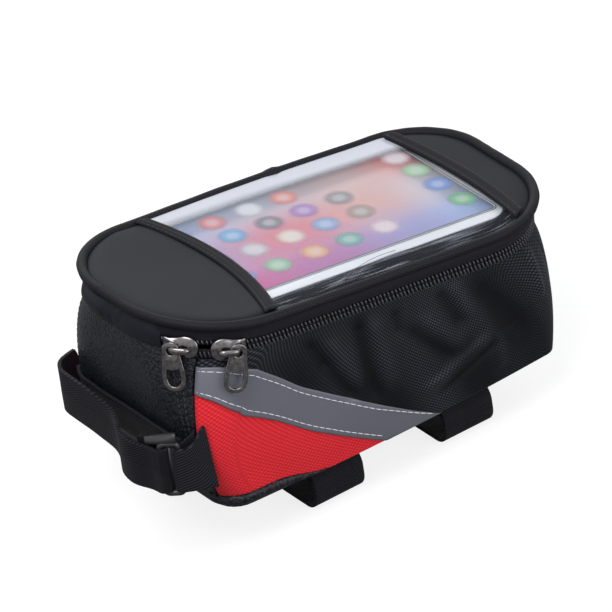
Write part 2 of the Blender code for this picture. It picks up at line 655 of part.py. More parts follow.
# Body
def along_edge(edge, station):
    """Height of an edge given as (station, height) points."""
    for (start, low), (stop, high) in zip(edge, edge[1:]):
        if start <= station <= stop:
            return low + (high - low) * (station - start) / (stop - start)
    return edge[0][1] if station < edge[0][0] else edge[-1][1]


def near_station(station):
    """The matching station of the near half, from -1 at the front to 2.5 at the rear."""
    if station > 6.5:
        station -= 8.0
    return min(station, 5.0 - station)


def side_course(start, stop):
    """Stations of a wall piece, with those where the reflective tapes' edges bend."""
    bends = [station for station, height in REFLECTOR_TOP + REFLECTOR_LOW]
    bends += [5.0 - station for station in bends]
    course = stations(start, stop)
    course += [bend for bend in bends if start + 0.004 < bend < stop - 0.004]
    course.sort()
    kept = [course[0]]
    for station in course[1:]:
        if station - kept[-1] > 0.004:
            kept.append(station)
    return kept


def build_walls(paints):
    seam = SEAM_STATION - 8.0
    nought = (lambda station: 0.0)
    whole = (lambda station: 1.0)
    wall_panel("front_panel", stations(5.0 - seam + SEAM_GAP, SEAM_STATION - SEAM_GAP), nought, whole,
               paints["grained_leather"])

    def above(station):
        height = along_edge(REFLECTOR_TOP, near_station(station))
        return height + REFLECTOR_GAP if height > 0.0 else 0.0

    wall_panel("side_and_rear_panel", side_course(seam + SEAM_GAP, 5.0 - seam - SEAM_GAP), above, whole,
               paints["black_cloth"])
    tape_stop = REFLECTOR_TOP[-1][0] - 0.01
    red_stop = REFLECTOR_LOW[-1][0] - 0.015
    for label, mirrored in (("near", False), ("far", True)):
        def span(start, stop):
            course = side_course(start, stop)
            return [5.0 - station for station in reversed(course)] if mirrored else course

        wall_panel(f"{label}_reflective_tape", span(seam + SEAM_GAP, tape_stop),
                   lambda station: along_edge(REFLECTOR_LOW, near_station(station)),
                   lambda station: along_edge(REFLECTOR_TOP, near_station(station)),
                   paints["reflector"], proud=REFLECTOR_PROUD)
        wall_panel(f"{label}_red_panel", span(seam + SEAM_GAP, red_stop), nought,
                   lambda station: along_edge(REFLECTOR_LOW, near_station(station)) - REFLECTOR_GAP,
                   paints["red_cloth"])

    ring = stations(0.0, 8.0)[:-1]
    low, high = (lambda station: 0.01), (lambda station: 0.985)
    lining_inset = WALL_THICKNESS + CLEARANCE
    wall_panel("inner_lining", ring, low, high, paints["lining"], proud=-lining_inset,
               inner=lining_inset + LINING_THICKNESS, closed=True)


def build_bottom(paints):
    outline = [outline_point(station, bottom_shape(BOTTOM_PANEL_INSET)) for station in stations(0.0, 8.0)[:-1]]
    world_plate("bottom_panel", outline, 0.0, BOTTOM_THICKNESS, paints["grained_leather"])
    side_front = BOTTOM_FRONT_X + BOTTOM_FRONT_RADIUS
    side_rear = BOTTOM_REAR_X - BOTTOM_REAR_RADIUS
    reach = (BINDING_START_X - side_front) / (side_rear - side_front)
    sections = []
    for station in stations(5.0 - reach, 8.0 + reach):
        x, y = outline_point(station, bottom_shape())
        radius = (HEM_RISE * hem_share(x) - CLEARANCE) / 2
        centre = Vector((*outline_point(station, bottom_shape(radius - BINDING_PROUD)), HEM_HEIGHT + radius))
        inner = Vector((*outline_point(station, bottom_shape(radius + 1.0 * MM)), HEM_HEIGHT + radius))
        out = (centre - inner).normalized()
        section = []
        for side in range(BINDING_SIDES):
            turn = 2 * math.pi * side / BINDING_SIDES
            section.append(centre + radius * (out * math.cos(turn) + Vector((0, 0, 1)) * math.sin(turn)))
        sections.append(section)
    loft("bottom_binding", sections, paints["grained_leather"])


# Straps
def build_straps(paints):
    for label, centre_x in zip(("front", "rear"), BOTTOM_STRAP_XS):
        top = -CLEARANCE - WEBBING_THICKNESS / 2
        low = -BOTTOM_STRAP_DROP + WEBBING_THICKNESS / 2
        middle = (0.0, 0.5 * (top + low))
        reach = 2 * BOTTOM_STRAP_HALF_WIDTH - WEBBING_THICKNESS
        loop = rounded_box(middle, reach, top - low, BOTTOM_STRAP_RADIUS - WEBBING_THICKNESS / 2, 4)
        ribbon(f"{label}_bottom_strap", [Vector(point) for point in loop], WEBBING_THICKNESS,
               lambda point, edge, x=centre_x: Vector((x + WEBBING_WIDTH * (edge - 0.5), point.x, point.y)),
               paints["webbing"], closed=True)

    def upright(point, edge):
        """Webbing on edge: it leans with the wall, spreads at its near seam and rises to the far side."""
        share = min(1.0, max(0.0, (point.x - STRAP_ROOT_X) / STRAP_ROOT_RUN))
        x = point.x + share * STRAP_LEAN * (1.0 - edge)
        flare = min(1.0, max(0.0, (point.x - ROOT_FLARE_X) / ROOT_FLARE_RUN)) if point.y < 0 else 0.0
        rise = min(1.0, max(0.0, (point.y - RING_FAR_BAR.y - 6.0 * MM) / MIDDLE_HALF_WIDTH))
        low = FRONT_STRAP_LOW + FRONT_STRAP_RISE * rise - flare * ROOT_FLARE_DOWN
        high = FRONT_STRAP_LOW + FRONT_WEBBING_WIDTH + FRONT_STRAP_RISE * rise + flare * ROOT_FLARE_UP
        return Vector((x, point.y, low + (high - low) * edge))

    def height_at(station, z):
        low, top = wall_point(station, 0.0).z, wall_point(station, 1.0).z
        return (z - low) / (top - low)

    anchor_low = (lambda station: height_at(station, FRONT_STRAP_LOW))
    anchor_high = (lambda station: height_at(station, FRONT_STRAP_LOW + FRONT_WEBBING_WIDTH))
    wall_panel("strap_anchor", stations(5.55, 7.2), anchor_low, anchor_high, paints["webbing"],
               proud=CLEARANCE + WEBBING_THICKNESS, inner=-CLEARANCE)

    wrap = RING_WIRE_RADIUS + CLEARANCE + WEBBING_THICKNESS / 2
    across_ring = (RING_FAR_BAR - RING_NEAR_BAR).normalized()
    square = Vector((-across_ring.y, across_ring.x))

    def turn_round(bar, towards, start, stop, steps=5):
        turns = [math.radians(start + (stop - start) * k / steps) for k in range(steps + 1)]
        return [bar + wrap * (towards * math.sin(turn) + square * math.cos(turn)) for turn in turns]

    tab_path = [*TAB_ROOT, *turn_round(RING_NEAR_BAR, across_ring, 0, 175), *TAB_TAIL]
    ribbon("ring_tab", smooth_path(tab_path, 2), WEBBING_THICKNESS, upright, paints["webbing"])
    strap_path = [*STRAP_ROOT, *STRAP_MIDDLE, *STRAP_END, *turn_round(RING_FAR_BAR, -across_ring, -42, 131),
                  *STRAP_TAIL]
    ribbon("front_strap", smooth_path(strap_path, 2), WEBBING_THICKNESS, upright, paints["webbing"])
    bar_low = FRONT_STRAP_LOW - CLEARANCE - RING_WIRE_RADIUS
    bar_high = FRONT_STRAP_LOW + FRONT_WEBBING_WIDTH + CLEARANCE + RING_WIRE_RADIUS
    run = (RING_FAR_BAR - RING_NEAR_BAR).length
    frame = rounded_box((run / 2, (bar_low + bar_high) / 2), run, bar_high - bar_low, 1.0 * MM, 2)
    points = [Vector((*(RING_NEAR_BAR + across_ring * x), z)) for x, z in frame]
    wire("strap_ring", points, RING_WIRE_RADIUS, Vector((*square, 0.0)), paints["plastic"], closed=True)


def hang(name, location, children):
    """An empty on a joint's axis, with the pieces that turn about it."""
    pivot = bpy.data.objects.new(name, None)
    pivot.empty_display_size = 0.02
    pivot.location = location
    bpy.context.collection.objects.link(pivot)
    for child in children:
        child.parent = pivot
        child.matrix_parent_inverse = Matrix.Translation(-Vector(location))
    return pivot


def build():
    for item in list(bpy.data.objects):
        bpy.data.objects.remove(item, do_unlink=True)
    paints = {
        "piping": material("grosgrain_piping", (0.012, 0.012, 0.014), 0.7),
        "smooth_leather": material("smooth_leatherette", (0.034, 0.036, 0.047), 0.45),
        "film": material("clear_film", (0.85, 0.88, 0.9), 0.08, alpha=0.25),
        "tape": material("grosgrain_tape", (0.022, 0.022, 0.028), 0.75),
        "lining": material("lining_cloth", (0.02, 0.02, 0.022), 0.9),
        "phone": material("white_phone_shell", (0.72, 0.75, 0.78), 0.3),
        "screen": material("phone_glass", (0.45, 0.42, 0.45), 0.1),
        "teeth": material("coil_teeth", (0.02, 0.02, 0.022), 0.4),
        "band": material("twill_band", (0.018, 0.018, 0.022), 0.8),
        "gusset": material("edge_cloth", (0.02, 0.02, 0.025), 0.6),
        "metal": material("gunmetal", (0.16, 0.15, 0.155), 0.3, metallic=1.0),
        "grained_leather": material("grained_leatherette", (0.02, 0.02, 0.027), 0.5),
        "black_cloth": material("black_polyester", (0.018, 0.018, 0.023), 0.75),
        "red_cloth": material("red_polyester", (0.62, 0.026, 0.036), 0.7),
        "reflector": material("reflective_tape", (0.13, 0.13, 0.17), 0.4),
        "webbing": material("black_webbing", (0.01, 0.01, 0.012), 0.8),
        "plastic": material("black_plastic", (0.02, 0.02, 0.023), 0.4),
    }
    build_lid(paints)
    build_zip(paints)
    corner_centre = (-LID_HALF_LENGTH + LID_FRONT_RADIUS, -LID_HALF_WIDTH + LID_FRONT_RADIUS)
    for number, angle in enumerate(SLIDER_ANGLES, 1):
        slider, tab = slider_parts(number, angle, paints)
        hang(f"slider_{number}_pivot", LID_FRAME @ Vector((*corner_centre, -ZIP_LINE)), (slider, tab))
    build_walls(paints)
    build_bottom(paints)
    build_straps(paints)
    lid = [bpy.data.objects[name] for name in LID_PIECES]
    hang("lid_pivot", lid_point(-LID_HALF_LENGTH - HINGE_FORWARD, 0.0, -BAND_TOP), lid)


build()
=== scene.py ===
"""Looks of the top tube phone bag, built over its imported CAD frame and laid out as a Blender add-on.

Metres, +Z up, +X to the rear of the bicycle, -Y the near side with the zip sliders. The lid has
its own flat frame (x, y, w), with w measured square to the lid. A station runs once round the
bag from 0 to 8: near side, rear near corner, rear, rear far corner, far side, front far corner,
front, front near corner. Station 5 - s mirrors station s across the bag.
"""

import math

import bmesh
import bpy
from mathutils import Matrix, Vector, noise


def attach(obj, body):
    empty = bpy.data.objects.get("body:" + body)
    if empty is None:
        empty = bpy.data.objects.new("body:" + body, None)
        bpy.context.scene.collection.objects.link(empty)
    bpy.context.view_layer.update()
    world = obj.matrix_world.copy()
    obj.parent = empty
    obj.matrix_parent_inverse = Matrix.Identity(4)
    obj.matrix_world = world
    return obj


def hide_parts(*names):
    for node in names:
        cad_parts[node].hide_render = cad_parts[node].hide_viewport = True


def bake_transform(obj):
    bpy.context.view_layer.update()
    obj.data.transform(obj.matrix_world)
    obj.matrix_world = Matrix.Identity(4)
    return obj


bl_info = {
    "name": "Top Tube Phone Bag",
    "version": (1, 0, 0),
    "blender": (4, 5, 0),
    "location": "View3D > Sidebar > Phone Bag",
    "description": "Builds a soft bicycle bag whose lid is a clear phone pocket",
    "category": "Add Mesh",
}

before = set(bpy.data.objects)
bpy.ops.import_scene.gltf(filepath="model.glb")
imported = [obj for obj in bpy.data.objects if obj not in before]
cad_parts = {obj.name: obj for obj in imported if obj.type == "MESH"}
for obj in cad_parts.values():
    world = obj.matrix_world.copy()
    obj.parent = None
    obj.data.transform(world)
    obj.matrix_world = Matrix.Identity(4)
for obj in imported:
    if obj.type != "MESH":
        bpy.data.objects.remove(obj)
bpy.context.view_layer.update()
MM = 0.001
UP = Vector((0.0, 0.0, 1.0))

# Lid: the centre line of its piping
LID_SLOPE = math.radians(7.1)
LID_CENTRE_HEIGHT = 79.0 * MM
LID_HALF_LENGTH = 99.2 * MM
LID_HALF_WIDTH = 51.0 * MM
LID_FRONT_RADIUS = 42.8 * MM
LID_REAR_RADIUS = 32.6 * MM
LID_NEAR_REAR_EXTRA = 9.0 * MM
LID_FAR_BOW = 1.8 * MM
LID_FRONT_LIFT = 3.0 * MM
LID_REAR_LIFT = 2.4 * MM
LIFT_START_FRONT = 35.0 * MM
LIFT_START_REAR = 50.0 * MM
LID_FRAME = Matrix.Translation((0.0, 0.0, LID_CENTRE_HEIGHT)) @ Matrix.Rotation(LID_SLOPE, 4, "Y")
LID_UP = LID_FRAME.to_3x3() @ UP
FRONT_WINDOW_X = -40.8 * MM
FRONT_WINDOW_BOW = 9.0 * MM
REAR_WINDOW_X = 76.6 * MM
REAR_WINDOW_BOW = 4.0 * MM
FRONT_WINDOW_MIDDLE_Y = 5.0 * MM
REAR_WINDOW_MIDDLE_Y = -2.0 * MM
PANEL_TIP = 0.8 * MM
PHONE_CENTRE = (5.0 * MM, 5.3 * MM)
PHONE_SIZE = (150.0 * MM, 83.0 * MM)
DISPLAY_LOW = (-62.0 * MM, -28.6 * MM)
DISPLAY_HIGH = (74.5 * MM, 40.4 * MM)

# Bag: outlines of the wall at its middle and at the underside. A seam dips SEAM_DEPTH into the padding
MIDDLE = tuple(size * MM for size in (-98.0, 93.0, 49.0, 20.0, 22.0, 22.0, 2.5, 2.5))
BOTTOM = tuple(size * MM for size in (-86.0, 84.5, 46.6, 14.0, 7.0, 7.0, 2.4, 2.4))
HEM_HEIGHT = 2.3 * MM
HEM_RISE = 5.5 * MM
HEM_START_X = -34.0 * MM
HEM_FULL_X = -62.0 * MM
BINDING_START_X = -38.0 * MM
WALL_TOP = 13.0 * MM
WALL_INSET = 0.8 * MM
SEAM = -0.47
SEAM_LEAN = 0.3
SEAM_DEPTH = 0.9 * MM
SEAM_WIDTH = 1.3 * MM
CORNER_STATION_LENGTH = 60.0 * MM
CLOTH_THICK = 1.4 * MM
# Points that the outer faces of an open sheet are turned away from
LID_HUB = (0.0, 0.0, 0.0)
WALL_HUB = (0.0, 0.0, 0.04)
TOP_HUB = (0.0, 0.0, 0.03)
RIM_HUB = (0.0, 0.0, 0.07)
REFLECTOR_TOP = ((-0.47, 0.925), (-0.3, 0.93), (-0.14, 0.91), (0.05, 0.838), (0.13, 0.758), (0.2, 0.675),
                 (0.2725, 0.59), (0.374, 0.4425), (0.476, 0.26), (0.56, 0.1), (0.615, 0.0))
REFLECTOR_LOW = ((-0.47, 0.765), (-0.36, 0.747), (-0.26, 0.72), (-0.13, 0.672), (0.03, 0.598), (0.09, 0.537),
                 (0.15, 0.468), (0.2, 0.4), (0.285, 0.268), (0.345, 0.162), (0.4, 0.062), (0.435, 0.0))
SLIDER_ANGLES = (math.radians(39.5), math.radians(65.0))
TAB_REST_TURNS = (math.radians(8.0), math.radians(-8.0))
# Heights below the lid's plane: of the zip's middle, and from top to bottom of its neighbours
ZIP_LINE = 10.0 * MM
BAND_HEIGHTS = (-2.3 * MM, -7.2 * MM)
UPPER_TAPE_HEIGHTS = (-7.0 * MM, -9.9 * MM)
LOWER_TAPE_HEIGHTS = (-10.1 * MM, -13.8 * MM)
ROLL_HEIGHTS = (-2.0 * MM, -13.6 * MM)
ZIP_END = -0.8
LIP_END = -0.7

# Stitches: length, gap and thread radius
BINDING_STITCH = (1.9 * MM, 0.7 * MM, 0.16 * MM)
SEAM_STITCH = (1.6 * MM, 1.2 * MM, 0.24 * MM)
REFLECTOR_STITCH_GAP = 0.35 * MM
REFLECTOR_THREAD = 0.2 * MM

# Phone: heights of its parts over the lid's plane
PHONE_FRAME_HEIGHTS = (-7.1 * MM, -1.1 * MM)
PHONE_FACE_HEIGHTS = (-1.3 * MM, -0.4 * MM)
PHONE_CORNER = 12.0 * MM
PHONE_FACE_INSET = 0.6 * MM
ICON_HALF = 7.6 * MM
ICON_HEIGHT = 0.12 * MM
FILM_INSET = 2.0 * MM
FILM_LIFT = 0.95 * MM

# Zip: half sizes of a coil turn along, out of and up the bag, and its lean
COIL_ALONG = 0.5 * MM
COIL_OUT = 0.95 * MM
COIL_UP = {"upper": 1.15 * MM, "lower": 1.75 * MM}
COIL_LEAN = math.radians(20.0)
TAB_THICK = 1.3 * MM

# Loops under the bag: their places along it, and their outline round the tube
LOOP_CENTRES = (("front", -29.0 * MM), ("rear", 38.0 * MM))
LOOP_HALF_WIDTH = 43.0 * MM
LOOP_TOP = -0.3 * MM
LOOP_LOW = -20.5 * MM
LOOP_CORNER = 8.0 * MM
EDGE_ROUNDING = 0.35 * MM

# Stage: lamps as name, place, size and watts; the camera's angles are azimuth, elevation and roll
FLOOR_HEIGHT = -20.6 * MM
FLOOR_SIZE = 3.0
LAMPS = (("key", (-0.55, -0.35, 1.15), 0.7, 12.0), ("fill", (0.35, -1.1, 0.4), 0.9, 6.5),
         ("back", (0.35, 0.9, 0.8), 0.8, 3.0))
LAMP_TARGET = Vector((0.0, 0.0, 0.05))
CAMERA_ANGLES = tuple(math.radians(angle) for angle in (-31.36, 32.03, -8.57))
CAMERA_DISTANCE = 5.0
CAMERA_SHIFT = (1.03 * MM, 30.0 * MM)
CAMERA_SENSOR = 36.0
CAMERA_SPAN = 0.2532


# Colours and materials
def linear(code):
    """An sRGB hex colour as linear RGB."""
    channels = [int(code[k:k + 2], 16) / 255.0 for k in (0, 2, 4)]
    return tuple(c / 12.92 if c <= 0.04045 else ((c + 0.055) / 1.055) ** 2.4 for c in channels)


def shade(colour, factor):
    return (*(min(1.0, channel * factor) for channel in colour), 1.0)


def add(tree, kind, sockets=(), **options):
    """A node with its options, and its sockets linked or set."""
    made = tree.nodes.new(kind)
    for name, value in options.items():
        setattr(made, name, value)
    for socket, value in dict(sockets).items():
        if isinstance(value, bpy.types.NodeSocket):
            tree.links.new(value, made.inputs[socket])
        else:
            made.inputs[socket].default_value = value
    return made


def new_finish(name, **sockets):
    """A Principled material with plain values on its own sockets."""
    made = bpy.data.materials.new(name)
    made.use_nodes = True
    shader = made.node_tree.nodes["Principled BSDF"]
    for socket, value in sockets.items():
        shader.inputs[socket.replace("_", " ")].default_value = value
    return made, made.node_tree, shader


def maths(tree, operation, *values):
    """One math node on sockets or numbers."""
    return add(tree, "ShaderNodeMath", dict(enumerate(values)), operation=operation).outputs[0]


def mixed(tree, factor, low, high):
    """A colour that runs from low to high as factor goes from 0 to 1."""
    return add(tree, "ShaderNodeMix", {"Factor": factor, 6: low, 7: high}, data_type="RGBA").outputs[2]


def ranged(tree, value, low, high, start, stop, ease="SMOOTHSTEP"):
    """Value mapped from low..high to start..stop, and held there beyond."""
    return add(tree, "ShaderNodeMapRange", {0: value, 1: low, 2: high, 3: start, 4: stop},
               interpolation_type=ease).outputs[0]


def own_uv(tree):
    return add(tree, "ShaderNodeTexCoord").outputs["UV"]


def uv_parts(tree):
    """Both coordinates of the piece's own UV map: along and across the cloth."""
    parts = add(tree, "ShaderNodeSeparateXYZ", {0: own_uv(tree)})
    return parts.outputs["X"], parts.outputs["Y"]


def painted(tree, shader, factor, colour, low, high):
    """Runs the base colour between two shades of colour."""
    tree.links.new(mixed(tree, factor, shade(colour, low), shade(colour, high)), shader.inputs["Base Color"])


def bumped(tree, shader, height, depth):
    bump = add(tree, "ShaderNodeBump", {"Height": height, "Distance": depth, "Strength": 1.0})
    tree.links.new(bump.outputs["Normal"], shader.inputs["Normal"])


def cloth_cells(tree, pitch, sharpness=1.6):
    """Height of a square weave: a raised crossing in every other cell, as on a draughtboard."""
    waves = [maths(tree, "SINE", maths(tree, "MULTIPLY", part, math.pi / pitch)) for part in uv_parts(tree)]
    height = maths(tree, "MULTIPLY_ADD", maths(tree, "MULTIPLY", *waves), 0.5, 0.5)
    return maths(tree, "POWER", height, sharpness)


def slanted_ribs(tree, pitch, slant, fold, along):
    """Height of ribs slanted across the tape; with fold they turn back as a herringbone."""
    run, across = uv_parts(tree)
    if along:
        run, across = across, run
    if fold:
        across = maths(tree, "PINGPONG", across, fold)
    lean = maths(tree, "MULTIPLY_ADD", across, slant, run)
    sine = maths(tree, "SINE", maths(tree, "MULTIPLY", lean, 2 * math.pi / pitch))
    return maths(tree, "MULTIPLY_ADD", sine, 0.5, 0.5)


def cloudiness(tree, size, detail=3.0):
    """Slow noise over the piece, for patches of wear and dust."""
    place = add(tree, "ShaderNodeTexCoord").outputs["Object"]
    return add(tree, "ShaderNodeTexNoise", {"Vector": place, "Scale": 1.0 / size, "Detail": detail}).outputs["Fac"]


def oxford_polyester(name, colour, pitch, sharpness, dark, light, depth):
    """Coated oxford polyester: a square weave with painted highlights on its raised crossings, scaled by the painted
    light and shade of the lit layer.
    """
    made, tree, shader = new_finish(name, Roughness=0.5, Specular_IOR_Level=0.1, Sheen_Weight=0.04,
                                    Sheen_Roughness=0.4)
    cells = cloth_cells(tree, pitch, sharpness)
    # Painted light: the lit layer brightens the crossings on the swells and dulls them in the folds.
    lit = add(tree, "ShaderNodeAttribute", attribute_name="lit").outputs["Fac"]
    painted(tree, shader, maths(tree, "MULTIPLY", cells, lit), colour, dark, light)
    bumped(tree, shader, cells, depth)
    return made


def pebbled_leatherette(name, colour):
    """PVC leatherette pressed with a pebbled grain of about 1 mm: the pebbles painted lighter as highlights, the
    hollows between them painted darker as shade.
    """
    made, tree, shader = new_finish(name, Roughness=0.32, Specular_IOR_Level=0.22)
    place = add(tree, "ShaderNodeTexCoord").outputs["Object"]
    warp = add(tree, "ShaderNodeTexNoise", {"Vector": place, "Scale": 700.0, "Detail": 2.0}).outputs["Color"]
    bent = add(tree, "ShaderNodeMix", {"Factor": 0.0012, 4: place, 5: warp}, data_type="VECTOR").outputs[1]
    grain = add(tree, "ShaderNodeTexVoronoi", {"Vector": bent, "Scale": 900.0}, feature="SMOOTH_F1")
    height = ranged(tree, grain.outputs["Distance"], 0.1, 0.7, 1.0, 0.0, "LINEAR")
    painted(tree, shader, height, colour, 0.35, 1.7)
    bumped(tree, shader, height, 0.34 * MM)
    return made


def clouded(name, colour, patch, spread, grain, detail, depth, **sockets):
    """A nearly plain finish: slow patches of colour in the size patch, under a fine grain."""
    made, tree, shader = new_finish(name, **sockets)
    fine = cloudiness(tree, grain, detail)
    patches = cloudiness(tree, patch) if patch else fine
    painted(tree, shader, patches, colour, 1.0 - spread, 1.0 + spread)
    bumped(tree, shader, fine, depth)
    return made


def smooth_leatherette(name, colour):
    """Calendered leatherette: satin, with a faint grain of 0.7 mm."""
    return clouded(name, colour, 30.0 * MM, 0.12, 0.7 * MM, 4.0, 0.035 * MM, Roughness=0.5, Specular_IOR_Level=0.1)


def reflective_tape(name, colour):
    """Glass bead reflective tape: even grey with a satin sheen and a grit of 0.35 mm."""
    return clouded(name, colour, 22.0 * MM, 0.08, 0.35 * MM, 2.0, 0.02 * MM, Roughness=0.38, Specular_IOR_Level=0.5)


def moulded(name, colour, roughness, grain=0.5 * MM, depth=0.02 * MM):
    """Moulded or drawn plastic: plain colour with a faint unevenness from the tool."""
    return clouded(name, colour, None, 0.15, grain, 2.0, depth, Roughness=roughness)


def ribbed_tape(name, colour, pitch, slant, depth, fold=0.0, along=False, light=1.9):
    """Woven nylon tape: raised ribs, partly the weave's own pattern, with painted highlights on their crowns and
    painted shade between them.
    """
    made, tree, shader = new_finish(name, Roughness=0.55, Specular_IOR_Level=0.08, Sheen_Weight=0.03,
                                    Sheen_Roughness=0.35)
    ribs = slanted_ribs(tree, pitch, slant, fold, along)
    painted(tree, shader, ribs, colour, 0.45, light)
    bumped(tree, shader, ribs, depth)
    return made


def dotted_tape(name, colour, pitch, depth):
    """Plain woven nylon tape pulled on the bias: small raised dots in slanted rows, with painted highlights on the dots
    and painted shade between them.
    """
    made, tree, shader = new_finish(name, Roughness=0.5, Specular_IOR_Level=0.1)
    cells = cloth_cells(tree, pitch)
    painted(tree, shader, cells, colour, 0.45, 2.4)
    bumped(tree, shader, cells, depth)
    return made


def gunmetal(name, colour):
    """Die cast zinc with a dark plated finish: mirror highlights that break up over wear of about 1.6 mm."""
    made, tree, shader = new_finish(name, Metallic=1.0)
    wear = cloudiness(tree, 1.6 * MM, 4.0)
    tree.links.new(ranged(tree, wear, 0.3, 0.7, 0.14, 0.3, "LINEAR"), shader.inputs["Roughness"])
    painted(tree, shader, wear, colour, 0.35, 1.7)
    return made


def clear_film(name, haze):
    """Soft clear PVC film: nearly clear, with painted reflections as streaks of 2 x 26 mm beside the phone, and a milky
    far edge.
    """
    made, tree, shader = new_finish(name, Roughness=0.2, Specular_IOR_Level=0.4)
    along, across = uv_parts(tree)
    beside = ranged(tree, across, 9.0 * MM, 12.5 * MM, 1.0, 0.0)
    # Painted reflections: grey streaks in the film's alpha beside the phone.
    drawn = add(tree, "ShaderNodeMapping", {"Vector": own_uv(tree), "Scale": (38.0, 520.0, 1.0)}).outputs[0]
    reflection_streaks = add(tree, "ShaderNodeTexNoise", {"Vector": drawn, "Scale": 1.0, "Detail": 1.0}).outputs["Fac"]
    reflection_streaks = ranged(tree, reflection_streaks, 0.5, 0.72, 0.0, 0.55, "LINEAR")
    near = maths(tree, "MULTIPLY_ADD", beside, reflection_streaks, haze)
    far = ranged(tree, maths(tree, "MULTIPLY_ADD", along, 0.035, across), 86.0 * MM, 96.0 * MM, 0.0, 0.86)
    tree.links.new(maths(tree, "MAXIMUM", near, far), shader.inputs["Alpha"])
    tint = mixed(tree, far, (0.24, 0.27, 0.33, 1.0), (0.66, 0.68, 0.76, 1.0))
    tree.links.new(tint, shader.inputs["Base Color"])
    return made


def display_picture(name):
    """A lit phone display under hazy film: soft fields of colour that run into each other, partly the screen's own
    colours and partly the film's reflection painted in as a pale veil.
    """
    made, tree, shader = new_finish(name, Roughness=0.3, Specular_IOR_Level=0.2)
    length, width = uv_parts(tree)
    rows = []
    for stops in (("c46c93", "ae7fa8", "9d9cc4", "a3b6dc"), ("8b96c4", "c67a88", "cba4a2", "c4c9d5"),
                  ("9fb0d2", "b4bccd", "c9b6b8", "dd8078")):
        ramp = add(tree, "ShaderNodeValToRGB", {"Fac": length})
        colours = ramp.color_ramp
        colours.interpolation = "EASE"
        for position in (0.4, 0.72):
            colours.elements.new(position)
        for spot, code in zip(colours.elements, stops):
            spot.color = (*linear(code), 1.0)
        rows.append(ramp.outputs["Color"])
    field = rows[0]
    for row, low, high in ((rows[1], 0.08, 0.5), (rows[2], 0.5, 0.95)):
        field = mixed(tree, ranged(tree, width, low, high, 0.0, 1.0), field, row)
    tree.links.new(field, shader.inputs["Base Color"])
    return made


def blurred_icon(name):
    """Icons as soft round spots with a paler middle, because the film over them blurs their edges."""
    made, tree, shader = new_finish(name, Roughness=0.4, Specular_IOR_Level=0.2)
    tint = add(tree, "ShaderNodeAttribute", attribute_name="icon_colour").outputs["Color"]
    away = maths(tree, "ADD", *(maths(tree, "MULTIPLY", part, part) for part in uv_parts(tree)))
    paler = mixed(tree, ranged(tree, away, 0.02, 0.22, 0.45, 0.0), tint, (0.7, 0.7, 0.75, 1.0))
    tree.links.new(paler, shader.inputs["Base Color"])
    tree.links.new(ranged(tree, away, 0.0, 1.0, 0.8, 0.0), shader.inputs["Alpha"])
    return made


FINISHES = {}


# Outlines and skins, all in metres
def between(ends, share):
    return ends[0] + (ends[1] - ends[0]) * share


def level(height):
    """A wall edge at one height, as a function of the station."""
    return lambda station: height


def outline_point(station, shape):
    """A point of an outline: ends, half width, corner radii in front, rear near and rear far, and side bows."""
    front_x, rear_x, half_width, front_radius, near_radius, far_radius, near_bow, far_bow = shape
    section, share = divmod(station % 8.0, 1.0)
    side_front = front_x + front_radius
    hump = 4.0 * share * (1.0 - share)
    if section == 0:
        return side_front + share * (rear_x - near_radius - side_front), -half_width - near_bow * hump
    if section == 4:
        side_rear = rear_x - far_radius
        return side_rear + share * (side_front - side_rear), half_width + far_bow * hump
    if section == 2:
        start, stop = near_radius - half_width, half_width - far_radius
        return rear_x, start + share * (stop - start)
    if section == 6:
        return front_x, (half_width - front_radius) * (1.0 - 2.0 * share)
    turn = {1: -0.5, 3: 0.0, 5: 0.5, 7: 1.0}[section] * math.pi + share * math.pi / 2
    radius = {1: near_radius, 3: far_radius, 5: front_radius, 7: front_radius}[section]
    centre_x = rear_x - radius if section in (1, 3) else side_front
    centre_y = (half_width - radius) * (1.0 if section in (3, 5) else -1.0)
    return centre_x + radius * math.cos(turn), centre_y + radius * math.sin(turn)


def drawn_in(shape, inset):
    front_x, rear_x, half_width, *radii = shape
    return (front_x + inset, rear_x - inset, half_width - inset, *(radius - inset for radius in radii[:3]), *radii[3:])


LID = (-LID_HALF_LENGTH, LID_HALF_LENGTH, LID_HALF_WIDTH, LID_FRONT_RADIUS,
       LID_REAR_RADIUS + LID_NEAR_REAR_EXTRA, LID_REAR_RADIUS, 0.0, LID_FAR_BOW)


def lid_lift(x):
    """Both ends of the lid curl up a little above its flat middle."""
    front_reach = max(0.0, -x - LIFT_START_FRONT) / (LID_HALF_LENGTH - LIFT_START_FRONT)
    rear_reach = max(0.0, x - LIFT_START_REAR) / (LID_HALF_LENGTH - LIFT_START_REAR)
    return LID_FRONT_LIFT * front_reach ** 2 + LID_REAR_LIFT * rear_reach ** 2


def lid_point(x, y, w):
    return LID_FRAME @ Vector((x, y, w + lid_lift(x)))


def ring_point(station, inset, w):
    x, y = outline_point(station, drawn_in(LID, inset))
    return lid_point(x, y, w)


def hem_share(x):
    share = min(1.0, max(0.0, (HEM_START_X - x) / (HEM_START_X - HEM_FULL_X)))
    return share * share * (3.0 - 2.0 * share)


def wall_point(station, height, inset=0.0):
    """A point of the bag's wall; height runs from 0 at the underside to 1 at the zip."""
    top = ring_point(station, WALL_INSET + inset, -WALL_TOP)
    low_x, low_y = outline_point(station, drawn_in(BOTTOM, inset))
    low = Vector((low_x, low_y, HEM_HEIGHT + HEM_RISE * hem_share(low_x)))
    middle = Vector((*outline_point(station, drawn_in(MIDDLE, inset)), 0.5 * (low.z + top.z)))
    weights = ((1.0 - height) * (1.0 - 2.0 * height), 4.0 * height * (1.0 - height),
               height * (2.0 * height - 1.0))
    return low * weights[0] + middle * weights[1] + top * weights[2]


